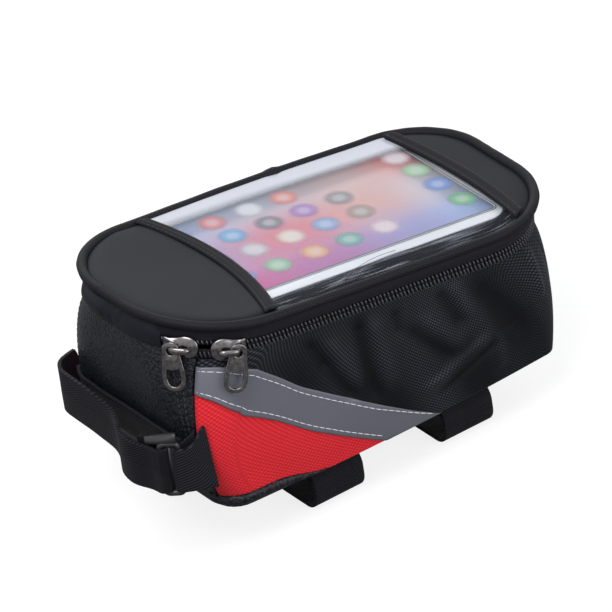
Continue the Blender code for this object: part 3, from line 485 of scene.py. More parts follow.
# Folds of the near side cloth: start and end (x, z), half width and depth, all in millimetres
NEAR_FOLDS = (
    ((-13.6, 63.3), (-11.3, 27.4), 3.4, -1.3),
    ((-6.5, 60.0), (-3.0, 30.0), 4.0, 0.8),
    ((-38.2, 64.9), (-32.3, 51.9), 2.8, -1.0),
    ((-32.3, 51.9), (-22.0, 32.5), 2.8, -1.0),
    ((-28.0, 60.0), (-19.0, 38.0), 3.0, 0.7),
    ((4.4, 59.8), (5.1, 50.7), 2.2, -0.9),
    ((28.1, 57.9), (35.9, 39.7), 3.2, -1.2),
    ((34.0, 59.0), (41.0, 44.0), 3.0, 0.8),
    ((10.5, 48.4), (27.0, 28.7), 3.6, -1.1),
    ((18.0, 50.0), (33.0, 32.0), 4.0, 0.8),
    ((46.0, 52.0), (63.2, 23.2), 6.5, -1.5),
    ((47.2, 27.5), (16.4, 17.6), 2.4, 0.9),
    ((52.0, 22.0), (22.0, 12.0), 2.4, -0.7),
    ((75.0, 64.0), (78.9, 34.0), 2.0, 1.0),
    ((54.6, 23.9), (54.1, 10.2), 2.0, 0.6),
)


def fold_depth(x, z):
    """How far the near side's folds push its cloth out at (x, z), in metres."""
    total = 0.0
    spot = Vector((x / MM, z / MM))
    for start, stop, width, depth in NEAR_FOLDS:
        start, stop = Vector(start), Vector(stop)
        run = stop - start
        share = min(1.0, max(0.0, (spot - start).dot(run) / run.length_squared))
        away = (spot - start - share * run).length
        ends = min(1.0, 6.0 * min(share + 0.12, 1.12 - share))
        total += depth * ends * math.exp(-(away / width) ** 2)
    return total * MM


def relief(height, spot, kind):
    """How far the cloth stands out of the plain wall, in metres; level at the hem and at the zip."""
    tamed = min(1.0, 7.0 * height, 9.0 * (1.0 - height))
    if kind == "leather":
        return (noise.noise(spot * 38.0) * 0.9 + noise.noise(spot * 90.0) * 0.25) * MM * tamed
    soft = noise.noise(spot * 30.0) * 0.9 + noise.noise(Vector((spot.x * 60.0, spot.y * 60.0, spot.z * 25.0))) * 0.45
    if kind == "red":
        return soft * 0.55 * MM * tamed
    if spot.y < -0.038 and spot.x > -0.06:
        return (1.6 * fold_depth(spot.x, spot.z) + 0.45 * soft * MM) * tamed
    if spot.y > 0.038:
        return (0.8 * fold_depth(-spot.x + 0.02, spot.z) + 0.7 * soft * MM) * tamed
    return 1.3 * soft * MM * tamed


def seam_run(station):
    """Distance along the wall from the front corner's end, in millimetres."""
    return station * (38.0 if station < 0 else 152.0)


def along_edge(edge, station):
    """Height of an edge given as (station, height) points, eased between them."""
    spots = [(seam_run(at), height) for at, height in edge]
    run = min(spots[-1][0], max(spots[0][0], seam_run(station)))
    k = max(k for k in range(len(spots) - 1) if spots[k][0] <= run)
    start, stop = spots[k], spots[k + 1]
    before, after = spots[max(0, k - 1)], spots[min(len(spots) - 1, k + 2)]
    reach = stop[0] - start[0]
    t = (run - start[0]) / reach
    slope_in = (stop[1] - before[1]) / (stop[0] - before[0]) * reach
    slope_out = (after[1] - start[1]) / (after[0] - start[0]) * reach
    return ((2 * t ** 3 - 3 * t ** 2 + 1) * start[1] + (t ** 3 - 2 * t ** 2 + t) * slope_in
            + (3 * t ** 2 - 2 * t ** 3) * stop[1] + (t ** 3 - t ** 2) * slope_out)


def near_station(station):
    if station > 6.5:
        station -= 8.0
    return min(station, 5.0 - station)


def seam_shift(station, height):
    near = near_station(station)
    shift = SEAM_LEAN * (1.0 - height) ** 2 * math.exp(-((near - SEAM) / 0.45) ** 2)
    return shift if 2.5 < station < 6.5 else -shift


def skin_point(station, height, proud=0.0, kind="cloth"):
    """The dressed wall: the plain wall with its folds, drawn in along the seams, which lean forward at the hem."""
    near = near_station(station)
    station += seam_shift(station, height)
    spot = wall_point(station, height)
    out = relief(height, spot, kind) + proud
    seam_distance = abs(near - SEAM) * CORNER_STATION_LENGTH
    out -= SEAM_DEPTH * math.exp(-(seam_distance / SEAM_WIDTH) ** 2)
    return wall_point(station, height, -out)


def zip_gape(station):
    """How far the zip stands open: 1 between the sliders, 0 elsewhere."""
    first, last = (angle / (math.pi / 2) - 1.0 for angle in SLIDER_ANGLES)
    share = ((station - 8.0 if station > 6.5 else station) - first) / (last - first)
    return max(0.0, 1.0 - (2.0 * share - 1.0) ** 4) if 0.0 < share < 1.0 else 0.0


def wall_rim(station):
    """Height of the wall's upper edge, which droops where the zip stands open."""
    return 1.012 - 0.045 * zip_gape(station)


def run_lengths(points):
    """Distance of each point from the first, along the line of points."""
    run = [0.0]
    for one, other in zip(points, points[1:]):
        run.append(run[-1] + (other - one).length)
    return run


def tangents_of(points):
    last = len(points) - 1
    return [(points[min(last, k + 1)] - points[max(0, k - 1)]).normalized() for k in range(last + 1)]


def even_stations(start, stop, step, at):
    """Stations an even distance apart along the line at(station)."""
    fine = [start + (stop - start) * k / 3000 for k in range(3001)]
    run = run_lengths([at(station) for station in fine])
    count = max(1, round(run[-1] / step))
    found, k = [], 0
    for index in range(count + 1):
        while k < len(run) - 1 and run[k] < run[-1] * index / count:
            k += 1
        found.append(fine[k])
    return found


# Pieces
def laid_grid(columns, rows, place, extent, joined=False):
    """A grid of cloth laid by place(u, v); its UV map counts metres along and across."""
    builder = bmesh.new()
    uv = builder.loops.layers.uv.new("UVMap")
    bmesh.ops.create_grid(builder, x_segments=columns, y_segments=rows, size=0.5, calc_uvs=True)
    for face in builder.faces:
        for loop in face.loops:
            loop[uv].uv = (loop[uv].uv.x * extent[0], loop[uv].uv.y * extent[1])
    for vert in builder.verts:
        vert.co = place(vert.co.x + 0.5, vert.co.y + 0.5)
    if joined:
        bmesh.ops.remove_doubles(builder, verts=builder.verts, dist=0.00001)
    return builder


def faced_out(builder, hub):
    """Turns an open sheet so that its faces point away from hub."""
    total = sum(face.normal.dot(face.calc_center_median() - hub) * face.calc_area() for face in builder.faces)
    if total < 0:
        bmesh.ops.reverse_faces(builder, faces=builder.faces)
    return builder


def linked(name, data):
    """An object of the scene, at the origin."""
    made = bpy.data.objects.new(name, data)
    bpy.context.scene.collection.objects.link(made)
    return made


def evaluated_mesh(made):
    """The object's mesh with its modifiers, or its curve as a mesh."""
    bpy.context.view_layer.update()
    return bpy.data.meshes.new_from_object(made.evaluated_get(bpy.context.evaluated_depsgraph_get()))


def mesh_of(name, builder):
    mesh = bpy.data.meshes.new(name)
    builder.to_mesh(mesh)
    builder.free()
    return mesh


def piece(name, builder, paint, body, replaces=(), thick=0.0, offset=-1.0, subdivide=0, hub=None):
    """One visible piece: its mesh and finish, the body it rides on, and the CAD nodes it stands for."""
    builder.normal_update()
    if hub is not None:
        faced_out(builder, Vector(hub))
    mesh = mesh_of(name, builder)
    mesh.shade_smooth()
    mesh.materials.append(FINISHES[paint])
    made = linked(name, mesh)
    if thick:
        shell = made.modifiers.new("Thickness", "SOLIDIFY")
        shell.thickness = thick
        shell.offset = offset
        mesh.set_sharp_from_angle(angle=math.radians(60))
    if subdivide:
        smooth = made.modifiers.new("Smooth", "SUBSURF")
        smooth.levels = subdivide
        smooth.render_levels = subdivide
    if body:
        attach(made, body)
    if replaces:
        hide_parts(*replaces)
    return made


def tube_grid(points, radius_at, sides, out_at, up_at, closed=False):
    """A round cord along points; out_at and up_at give its two cross directions at each point."""
    length = run_lengths(points)[-1]
    last = len(points) - (0 if closed else 1)

    def place(u, v):
        k = min(last, round(u * last)) % len(points)
        turn = 2 * math.pi * v
        wide, tall = radius_at(k / last)
        return points[k] + out_at(k) * wide * math.cos(turn) + up_at(k) * tall * math.sin(turn)

    return laid_grid(last, sides, place, (length, 2 * math.pi * radius_at(0.5)[0]), joined=True)


def moved(builder, place):
    bmesh.ops.transform(builder, verts=builder.verts, matrix=place)
    return builder


def closed_ends(builder):
    """Caps a tube's open ends."""
    edges = [edge for edge in builder.edges if len(edge.link_faces) == 1]
    bmesh.ops.holes_fill(builder, edges=edges, sides=0)
    bmesh.ops.recalc_face_normals(builder, faces=builder.faces)
    return builder


def thread_run(builder, points, out_at, stitch, gap, thread):
    """Rows of stitches along points: short rounded lengths of thread that lie on the cloth."""
    run = run_lengths(points)

    def at(distance):
        k = 0
        while k < len(run) - 2 and run[k + 1] < distance:
            k += 1
        share = (distance - run[k]) / max(1e-9, run[k + 1] - run[k])
        return points[k].lerp(points[k + 1], min(1.0, max(0.0, share))), out_at[k]

    place = 0.5 * gap
    while place + stitch < run[-1]:
        start, out = at(place)
        stop, _ = at(place + stitch)
        along = (stop - start).normalized()
        across = out.cross(along).normalized()
        lift = along.cross(across).normalized()
        turned = Matrix((along * stitch * 0.52, across * thread, lift * thread * 0.8)).transposed().to_4x4()
        centre = (start + stop) / 2 + lift * thread * 0.35
        bmesh.ops.create_uvsphere(builder, u_segments=6, v_segments=6, radius=1.0,
                                  matrix=Matrix.Translation(centre) @ turned @ Matrix.Rotation(math.pi / 2, 4, "Y"))
        place += stitch + gap


def painted_cloth_light(spot):
    """Painted light and shade for the weave: dull in the folds, bright on the swells beside them, with slow patches of
    each.
    """
    soft = noise.noise(Vector((spot.x * 42.0 + spot.z * 18.0, spot.y * 30.0, spot.z * 26.0)))
    fold = fold_depth(spot.x, spot.z) / MM if spot.y < 0 else 0.0
    return min(1.25, max(0.08, 0.55 + 1.1 * soft + 0.55 * fold))


def wall_normal(station, height):
    return (wall_point(station, height, -0.001) - wall_point(station, height)).normalized()


def wall_sheet(start, stop, low, high, columns, rows, proud=0.0, kind="cloth"):
    """Part of the wall between two heights, which are functions of the station."""
    steps = 200
    run = run_lengths([wall_point(start + (stop - start) * k / steps, 0.5) for k in range(steps + 1)])

    def place(u, v):
        station = between((start, stop), u)
        return skin_point(station, between((low(station), high(station)), v), proud, kind)

    builder = laid_grid(columns, rows, place, (steps, 1.0))
    # Cloth counts its threads up the wall from the hem, so the weave runs level across a slanted cut
    uv = builder.loops.layers.uv.active
    # The lit layer is painted light and shade for the weave; the red cloth is left even at 1.
    lit = builder.verts.layers.float.new("lit")
    for vert in builder.verts:
        vert[lit] = 1.0 if kind == "red" else painted_cloth_light(vert.co)
    for face in builder.faces:
        for loop in face.loops:
            k = min(steps - 1, int(loop[uv].uv.x))
            share = loop[uv].uv.x - k
            loop[uv].uv = (run[k] * (1.0 - share) + run[k + 1] * share, loop.vert.co.z)
    return builder


def settings(context):
    return context.scene.phone_bag


class PhoneBagColours(bpy.types.PropertyGroup):
    """Colours of the bag's cloth, leatherette and metal."""
    cloth: bpy.props.FloatVectorProperty(name="Side cloth", description="Polyester of the sides and the rear",
                                         subtype="COLOR", default=linear("18191e"), min=0.0, max=1.0)
    accent: bpy.props.FloatVectorProperty(name="Accent cloth", description="Polyester of the two lower front fields",
                                          subtype="COLOR", default=linear("ea2f39"), min=0.0, max=1.0)
    leather: bpy.props.FloatVectorProperty(name="Pebbled leatherette", description="Front panel and underside",
                                           subtype="COLOR", default=linear("1d1e24"), min=0.0, max=1.0)
    smooth: bpy.props.FloatVectorProperty(name="Smooth leatherette", description="Both ends of the lid",
                                          subtype="COLOR", default=linear("1a1c22"), min=0.0, max=1.0)
    tape: bpy.props.FloatVectorProperty(name="Woven tape", description="Piping, bindings and zip tape",
                                        subtype="COLOR", default=linear("19191d"), min=0.0, max=1.0)
    webbing: bpy.props.FloatVectorProperty(name="Webbing", description="Straps and strap loops",
                                           subtype="COLOR", default=linear("18181c"), min=0.0, max=1.0)
    reflector: bpy.props.FloatVectorProperty(name="Reflective tape", description="Tape across both sides",
                                             subtype="COLOR", default=linear("64656f"), min=0.0, max=1.0)
    thread: bpy.props.FloatVectorProperty(name="Reflector thread", description="Stitches along the reflective tape",
                                          subtype="COLOR", default=linear("e4e6ea"), min=0.0, max=1.0)
    metal: bpy.props.FloatVectorProperty(name="Slider metal", description="Zip sliders and pull tabs",
                                         subtype="COLOR", default=linear("6e6b6c"), min=0.0, max=1.0)


class PhoneBagSizes(bpy.types.PropertyGroup):
    """Sizes of the sewn details."""
    piping_radius: bpy.props.FloatProperty(name="Piping radius", description="Radius of the cord round the lid",
                                           default=2.2 * MM, min=1.0 * MM, max=3.0 * MM, unit="LENGTH")
    binding_width: bpy.props.FloatProperty(name="Binding width", description="Width of the tapes at the window",
                                           default=6.5 * MM, min=3.0 * MM, max=10.0 * MM, unit="LENGTH")
    tooth_pitch: bpy.props.FloatProperty(name="Zip pitch", description="Distance from one zip coil to the next",
                                         default=1.9 * MM, min=1.2 * MM, max=3.0 * MM, unit="LENGTH")
    stitch_length: bpy.props.FloatProperty(name="Stitch length", description="Length of a reflector stitch",
                                           default=3.3 * MM, min=1.5 * MM, max=5.0 * MM, unit="LENGTH")
    webbing_width: bpy.props.FloatProperty(name="Webbing width", description="Width of the straps",
                                           default=25.0 * MM, min=20.0 * MM, max=26.0 * MM, unit="LENGTH")
    film_haze: bpy.props.FloatProperty(name="Film haze", description="How milky the window film is",
                                       default=0.07, min=0.0, max=0.6, subtype="FACTOR")


class PhoneBagProperties(bpy.types.PropertyGroup):
    """All settings of the bag."""
    colours: bpy.props.PointerProperty(type=PhoneBagColours)
    sizes: bpy.props.PointerProperty(type=PhoneBagSizes)


class PHONEBAG_OT_finishes(bpy.types.Operator):
    """Make the materials of the bag"""
    bl_idname = "phonebag.finishes"
    bl_label = "Finishes"

    def execute(self, context):
        colours = settings(context).colours
        FINISHES.update({
            "side polyester": oxford_polyester("oxford_polyester_black", colours.cloth, 0.88 * MM, 2.6, 0.42, 6.6,
                                               0.1 * MM),
            "accent polyester": oxford_polyester("oxford_polyester_red", colours.accent, 1.0 * MM, 1.6, 0.7, 1.34,
                                                 0.14 * MM),
            "pebbled": pebbled_leatherette("pebbled_pvc_leatherette", colours.leather),
            "smooth": smooth_leatherette("calendered_pvc_leatherette", colours.smooth),
            "piping": dotted_tape("bias_piping_nylon", colours.tape, 0.62 * MM, 0.1 * MM),
            "binding": ribbed_tape("grosgrain_binding_nylon", colours.tape, 0.9 * MM, 0.0, 0.07 * MM, light=1.6),
            "band": ribbed_tape("twill_band_nylon", colours.tape, 1.15 * MM, 1.0, 0.09 * MM, light=2.6),
            "webbing": ribbed_tape("herringbone_webbing_nylon", colours.webbing, 1.15 * MM, 1.0, 0.14 * MM,
                                   fold=10.2 * MM, light=2.4),
            "chevron webbing": ribbed_tape("chevron_webbing_nylon", colours.webbing, 1.25 * MM, 1.1, 0.14 * MM,
                                           fold=7.5 * MM, along=True, light=3.0),
            "lip": smooth_leatherette("rolled_edge_leatherette", shade(colours.leather, 1.2)[:3]),
            "reflector": reflective_tape("glass_bead_reflective_tape", colours.reflector),
            "white thread": moulded("polyester_thread_white", colours.thread, 0.6, 0.4 * MM),
            "black thread": moulded("polyester_thread_black", linear("34343a"), 0.5, 0.4 * MM),
            "metal": gunmetal("plated_zinc_gunmetal", colours.metal),
            "coil": moulded("nylon_coil_black", linear("3c3c41"), 0.26),
            "zip tape": ribbed_tape("zip_tape_polyester", linear("17171a"), 1.0 * MM, 0.0, 0.05 * MM),
            "ring": moulded("acetal_ring_black", linear("222226"), 0.38, 1.2 * MM),
            "lining": ribbed_tape("nylon_lining_black", linear("1c1c20"), 1.4 * MM, 0.0, 0.05 * MM),
            "phone shell": moulded("glossy_polycarbonate_white", linear("dde1e8"), 0.22, 20.0 * MM, 0.0),
            "phone frame": moulded("phone_frame_dark", linear("202126"), 0.35, 20.0 * MM, 0.0),
            "display": display_picture("phone_display_lit"),
            "icon": blurred_icon("phone_display_icons"),
            "crease": moulded("film_crease_shadow", linear("1e1f24"), 0.3),
            "bezel line": moulded("display_edge_grey", linear("6d6f74"), 0.3),
            "film": clear_film("soft_pvc_film", settings(context).sizes.film_haze),
        })
        for node, paint in (("lid_board", "lining"), ("inner_lining", "lining"), ("bottom_panel", "pebbled")):
            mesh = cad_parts[node].data
            mesh.materials.clear()
            mesh.materials.append(FINISHES[paint])
        return {"FINISHED"}


def front_window_x(y):
    return FRONT_WINDOW_X - FRONT_WINDOW_BOW * ((y - FRONT_WINDOW_MIDDLE_Y) / LID_HALF_WIDTH) ** 2


def rear_window_x(y):
    return REAR_WINDOW_X - REAR_WINDOW_BOW * ((y - REAR_WINDOW_MIDDLE_Y) / LID_HALF_WIDTH) ** 2


def corner_radius(x, y):
    """Radius of the lid's corner on this side of its middle."""
    if x < 0:
        return LID_FRONT_RADIUS
    return LID_REAR_RADIUS + (LID_NEAR_REAR_EXTRA if y < 0 else 0.0)


def end_x(y, inset, front):
    """X of the lid's outline at y, on its front or rear end."""
    corner = corner_radius(-1.0 if front else 1.0, y)
    radius = corner - inset
    beyond = min(radius, max(0.0, abs(y) - (LID_HALF_WIDTH - corner)))
    x = LID_HALF_LENGTH - corner + math.sqrt(radius * radius - beyond * beyond)
    return -x if front else x


def panel_y(side, inset, edge, front):
    """Y where a leatherette end of the lid runs out, on the near (-1) or far (1) side."""
    low, high = 0.0, LID_HALF_WIDTH - inset
    for _ in range(30):
        middle = (low + high) / 2
        reach = abs(end_x(side * middle, inset, front)) - abs(edge(side * middle))
        low, high = (middle, high) if reach > PANEL_TIP else (low, middle)
    return side * low


def squeezed(x, y, inset):
    """Y moved in step with the lid's outline, drawn in at its corners and bowed out on its far side."""
    corner = corner_radius(x, y)
    radius = corner - inset
    beyond = min(radius, max(0.0, abs(x) - (LID_HALF_LENGTH - corner)))
    shrunk = radius - math.sqrt(radius * radius - beyond * beyond)
    if y > 0 and beyond == 0.0:
        front, rear = LID_FRONT_RADIUS - LID_HALF_LENGTH, LID_HALF_LENGTH - LID_REAR_RADIUS
        share = (x - front) / (rear - front)
        shrunk = -4.0 * LID_FAR_BOW * share * (1.0 - share)
    return y * (1.0 - shrunk / (LID_HALF_WIDTH - inset))


class PHONEBAG_OT_lid(bpy.types.Operator):
    """Sew the lid: piping, leatherette ends and the tapes at the window"""
    bl_idname = "phonebag.lid"
    bl_label = "Lid"

    def execute(self, context):
        sizes = settings(context).sizes
        radius = sizes.piping_radius

        def piping(u, v):
            turn = 2 * math.pi * v
            station = 8.0 * u
            kink = 1.0 + 0.35 * math.exp(-((station - 4.385) / 0.02) ** 2)
            swell = radius * kink * (1.0 + 0.05 * noise.noise(Vector((station * 9.0, 0.0, 0.0))))
            return ring_point(station, -swell * math.cos(turn), swell * math.sin(turn))

        builder = laid_grid(360, 14, piping, (0.53, 2 * math.pi * radius), joined=True)
        bmesh.ops.recalc_face_normals(builder, faces=builder.faces)
        piece("piping", builder, "piping", "lid", ["lid_piping"])

        def groove(u, v):
            station = 8.0 * u
            inset = 1.2 * MM + 2.6 * MM * v
            return ring_point(station, inset, -1.0 * MM + 0.9 * MM * v)

        piece("piping_seam", laid_grid(200, 2, groove, (0.52, 2.6 * MM), joined=True), "zip tape", "lid",
              thick=0.4 * MM, hub=LID_HUB)
        for label, front in (("front", True), ("rear", False)):
            edge = front_window_x if front else rear_window_x
            near_y, far_y = (panel_y(side, 1.6 * MM, edge, front) for side in (-1.0, 1.0))

            def panel(u, v):
                y = near_y + (far_y - near_y) * u
                inner = edge(y)
                outer = end_x(y, 1.6 * MM, front)
                x = inner + (outer - inner) * v
                rim = min((1.0 - v) * abs(outer - inner), 2.0 * (1.0 - abs(2.0 * u - 1.0)) * LID_HALF_WIDTH)
                rim = max(0.0, rim)
                crown = 2.0 * MM * (1.0 - math.exp(-rim / (3.0 * MM)))
                soft = 0.5 * MM * noise.noise(Vector((x * 25.0, y * 25.0, 3.0)))
                return lid_point(x, y, -0.3 * MM + crown + soft)

            made = piece(f"{label}_lid_leather", laid_grid(90, 40, panel, (0.1, 0.05)), "smooth", "lid",
                         [f"lid_{label}_panel"], thick=1.0 * MM, hub=TOP_HUB)
            self.binding(label, front, edge, sizes.binding_width)
        return {"FINISHED"}

    def binding(self, label, front, edge, width):
        """Tape folded over the film's edge, with a ridge along its middle and two rows of stitches."""
        reach = LID_HALF_WIDTH - 2.4 * MM
        sign = -1.0 if front else 1.0

        def spot(y, across):
            x = edge(y) + sign * (across * width - 0.5 * MM)
            y = squeezed(x, y, 2.4 * MM)
            ridge = 0.35 * MM * math.exp(-((across - 0.62) / 0.1) ** 2)
            side = 0.5 * MM * (1.0 - min(1.0, 6.0 * min(across, 1.0 - across)))
            return lid_point(x, y, 2.75 * MM + ridge - side)

        def tape(u, v):
            return spot((2.0 * u - 1.0) * reach, v)

        piece(f"{label}_binding_tape", laid_grid(90, 12, tape, (2 * reach, width)), "binding", "lid",
              [f"{label}_window_binding"], thick=0.8 * MM, hub=TOP_HUB)
        builder = bmesh.new()
        for share in (0.16, 0.84):
            points = [spot((2.0 * k / 60 - 1.0) * reach * 0.98, share) for k in range(61)]
            thread_run(builder, points, [LID_UP] * len(points), *BINDING_STITCH)
        piece(f"{label}_binding_stitches", builder, "black thread", "lid")


def rounded_box(centre, size, radius, steps=8):
    """Outline of a rectangle with round corners."""
    outline = []
    for corner, (side_x, side_y) in enumerate(((1, -1), (1, 1), (-1, 1), (-1, -1))):
        middle = (centre[0] + side_x * (size[0] / 2 - radius), centre[1] + side_y * (size[1] / 2 - radius))
        for step in range(steps + 1):
            turn = math.radians(-90 + 90 * corner + 90 * step / steps)
            outline.append((middle[0] + radius * math.cos(turn), middle[1] + radius * math.sin(turn)))
    return outline


def flat_plate(outline, low, high, edge=0.0):
    """A level outline of the lid frame, extruded and with its edges rounded over."""
    builder = bmesh.new()
    face = builder.faces.new([builder.verts.new((x, y, low)) for x, y in outline])
    grown = bmesh.ops.extrude_face_region(builder, geom=[face])
    lifted = [item for item in grown["geom"] if isinstance(item, bmesh.types.BMVert)]
    bmesh.ops.translate(builder, verts=lifted, vec=(0.0, 0.0, high - low))
    bmesh.ops.recalc_face_normals(builder, faces=builder.faces)
    if edge:
        rims = [e for e in builder.edges if len(e.link_faces) == 2 and abs(e.verts[0].co.z - e.verts[1].co.z) < 1e-7]
        bmesh.ops.bevel(builder, geom=rims, offset=edge, segments=3, profile=0.5, affect="EDGES", material=-1)
    return moved(builder, LID_FRAME)


ICON_COLUMNS = (32.4 * MM, 17.8 * MM, 2.3 * MM, -14.8 * MM)
ICON_ROWS = (
    (-44.0 * MM, ("8fa3d4", "d8dbe2", "7c8ec8", "5aa7e0")),
    (-26.0 * MM, ("e2757a", "4fb2e6", "d4d7de", "8fd0a2")),
    (-7.3 * MM, ("e8ebf0", "6d7686", "efe9df", "f0b98a")),
    (10.3 * MM, ("ec8a80", "a67ad0", "7fb4ea", "58b9a8")),
    (28.3 * MM, (None, "8d9097", "a39890", "f2dfe2")),
    (68.0 * MM, ("efe3ea", "a6dcae", "5f92e4", "63c27c")),
)


class PHONEBAG_OT_phone(bpy.types.Operator):
    """Put the phone in its pocket, with a display of soft colours and plain round icons"""
    bl_idname = "phonebag.phone"
    bl_label = "Phone"

    def execute(self, context):
        outline = rounded_box(PHONE_CENTRE, PHONE_SIZE, PHONE_CORNER)
        # The phone's frame is coloured dark to match the dark seen round the phone's face.
        case = flat_plate(outline, *PHONE_FRAME_HEIGHTS, 0.8 * MM)
        piece("phone_frame", case, "phone frame", "lid")
        face_size = [size - 2 * PHONE_FACE_INSET for size in PHONE_SIZE]
        outline = rounded_box(PHONE_CENTRE, face_size, PHONE_CORNER - PHONE_FACE_INSET)
        face = flat_plate(outline, *PHONE_FACE_HEIGHTS, 0.4 * MM)
        piece("phone_shell", face, "phone shell", "lid", ["phone_body"])
        middle = [(DISPLAY_LOW[k] + DISPLAY_HIGH[k]) / 2 for k in (0, 1)]
        size = [DISPLAY_HIGH[k] - DISPLAY_LOW[k] for k in (0, 1)]

        def screen(u, v):
            return LID_FRAME @ Vector((DISPLAY_LOW[0] + size[0] * u, DISPLAY_LOW[1] + size[1] * v, 0.0))

        piece("phone_display", laid_grid(8, 4, screen, (1.0, 1.0)), "display", "lid",
              ["phone_screen"], thick=0.35 * MM, hub=LID_HUB)
        line = bmesh.new()
        for gap in (0.5 * MM, 1.6 * MM):
            rim = [Vector((x, y, -0.1 * MM)) for x, y in
                   rounded_box(middle, (size[0] + 2 * gap, size[1] + 2 * gap), 2.0 * MM + gap)]
            wire = [line.verts.new(LID_FRAME @ p) for p in rim]
            inner = [line.verts.new(LID_FRAME @ (p + (Vector((*middle, p.z)) - p).normalized() * 0.4 * MM
                                                 + UP * 0.12 * MM)) for p in rim]
            for k in range(len(wire)):
                after = (k + 1) % len(wire)
                line.faces.new((wire[k], wire[after], inner[after], inner[k]))
        piece("display_edge_lines", line, "bezel line", "lid", thick=0.15 * MM, hub=LID_HUB)
        self.icons()
        return {"FINISHED"}

    def icons(self):
        builder = bmesh.new()
        uv = builder.loops.layers.uv.new("UVMap")
        tint = builder.loops.layers.float_color.new("icon_colour")
        corners = ((-1, -1), (1, -1), (1, 1), (-1, 1))
        for x, codes in ICON_ROWS:
            for y, code in zip(ICON_COLUMNS, codes):
                if code is None:
                    continue
                spots = [LID_FRAME @ Vector((x + a * ICON_HALF, y + b * ICON_HALF, ICON_HEIGHT)) for a, b in corners]
                face = builder.faces.new([builder.verts.new(spot) for spot in spots])
                for loop, (a, b) in zip(face.loops, corners):
                    loop[uv].uv = (a, b)
                    # Icon colours lifted towards grey: the film's reflection painted in as a pale veil.
                    loop[tint] = (*(0.8 * channel + 0.14 for channel in linear(code)), 1.0)
        piece("display_icons", builder, "icon", "lid", hub=LID_HUB)


class PHONEBAG_OT_window(bpy.types.Operator):
    """Lay the clear film over the phone"""
    bl_idname = "phonebag.window"
    bl_label = "Window"

    def execute(self, context):
        creases = (((-13.4, -43.3), (-1.6, -38.6)), ((-1.6, -38.6), (9.2, -36.6)), ((9.2, -36.6), (20.2, -37.5)),
                   ((-2.0, -41.0), (22.5, -39.3)))

        def film(u, v):
            y = (2.0 * v - 1.0) * (LID_HALF_WIDTH - FILM_INSET)
            x = between((front_window_x(y) - FILM_INSET, rear_window_x(y) + FILM_INSET), u)
            y = squeezed(x, y, FILM_INSET)
            wave = 0.22 * MM * noise.noise(Vector((x * 40.0, y * 55.0, 1.0)))
            edge = min(1.0, (LID_HALF_WIDTH - abs(y)) / (12.0 * MM))
            lift = FILM_LIFT * (1.0 if y > 0 else min(1.0, max(0.15, (y + 51.0 * MM) / (13.0 * MM))))
            fold = 0.0
            for a, b in creases:
                a, b = Vector(a) * MM, Vector(b) * MM
                share = min(1.0, max(0.0, (Vector((x, y)) - a).dot(b - a) / (b - a).length_squared))
                away = (Vector((x, y)) - a - share * (b - a)).length
                fold = max(fold, math.exp(-(away / (0.8 * MM)) ** 2))
            return lid_point(x, y, lift + wave * edge + 0.55 * MM * fold)

        made = piece("pocket_film", laid_grid(150, 130, film, (0.12, 0.1)), "film", "lid",
                     ["window_film"], hub=LID_HUB)
        # Thin dark cords along the film's folds: painted shade where the folds bend the light.
        lines = bmesh.new()
        for arc in (((-13.4, -44.5), (-8.5, -41.5), (-1.6, -38.4), (9.2, -36.2), (18.0, -36.4)),
                    ((4.0, -39.6), (14.0, -38.6), (24.5, -39.2), (33.0, -41.0)),
                    ((-30.0, -41.2), (-22.0, -40.2), (-15.0, -41.0))):
            spots = smooth_path([Vector(point) * MM for point in arc], 8)
            points = [lid_point(spot.x, spot.y, 1.35 * MM) for spot in spots]
            run = tangents_of(points)
            cord = tube_grid(points, lambda u: (0.16 * MM, 0.08 * MM), 6, lambda k: LID_UP.cross(run[k]),
                             lambda k: LID_UP)
            mesh = bpy.data.meshes.new("crease")
            closed_ends(cord).to_mesh(mesh)
            cord.free()
            lines.from_mesh(mesh)
            bpy.data.meshes.remove(mesh)
        piece("film_crease_shade_lines", lines, "crease", "lid")
        return {"FINISHED"}


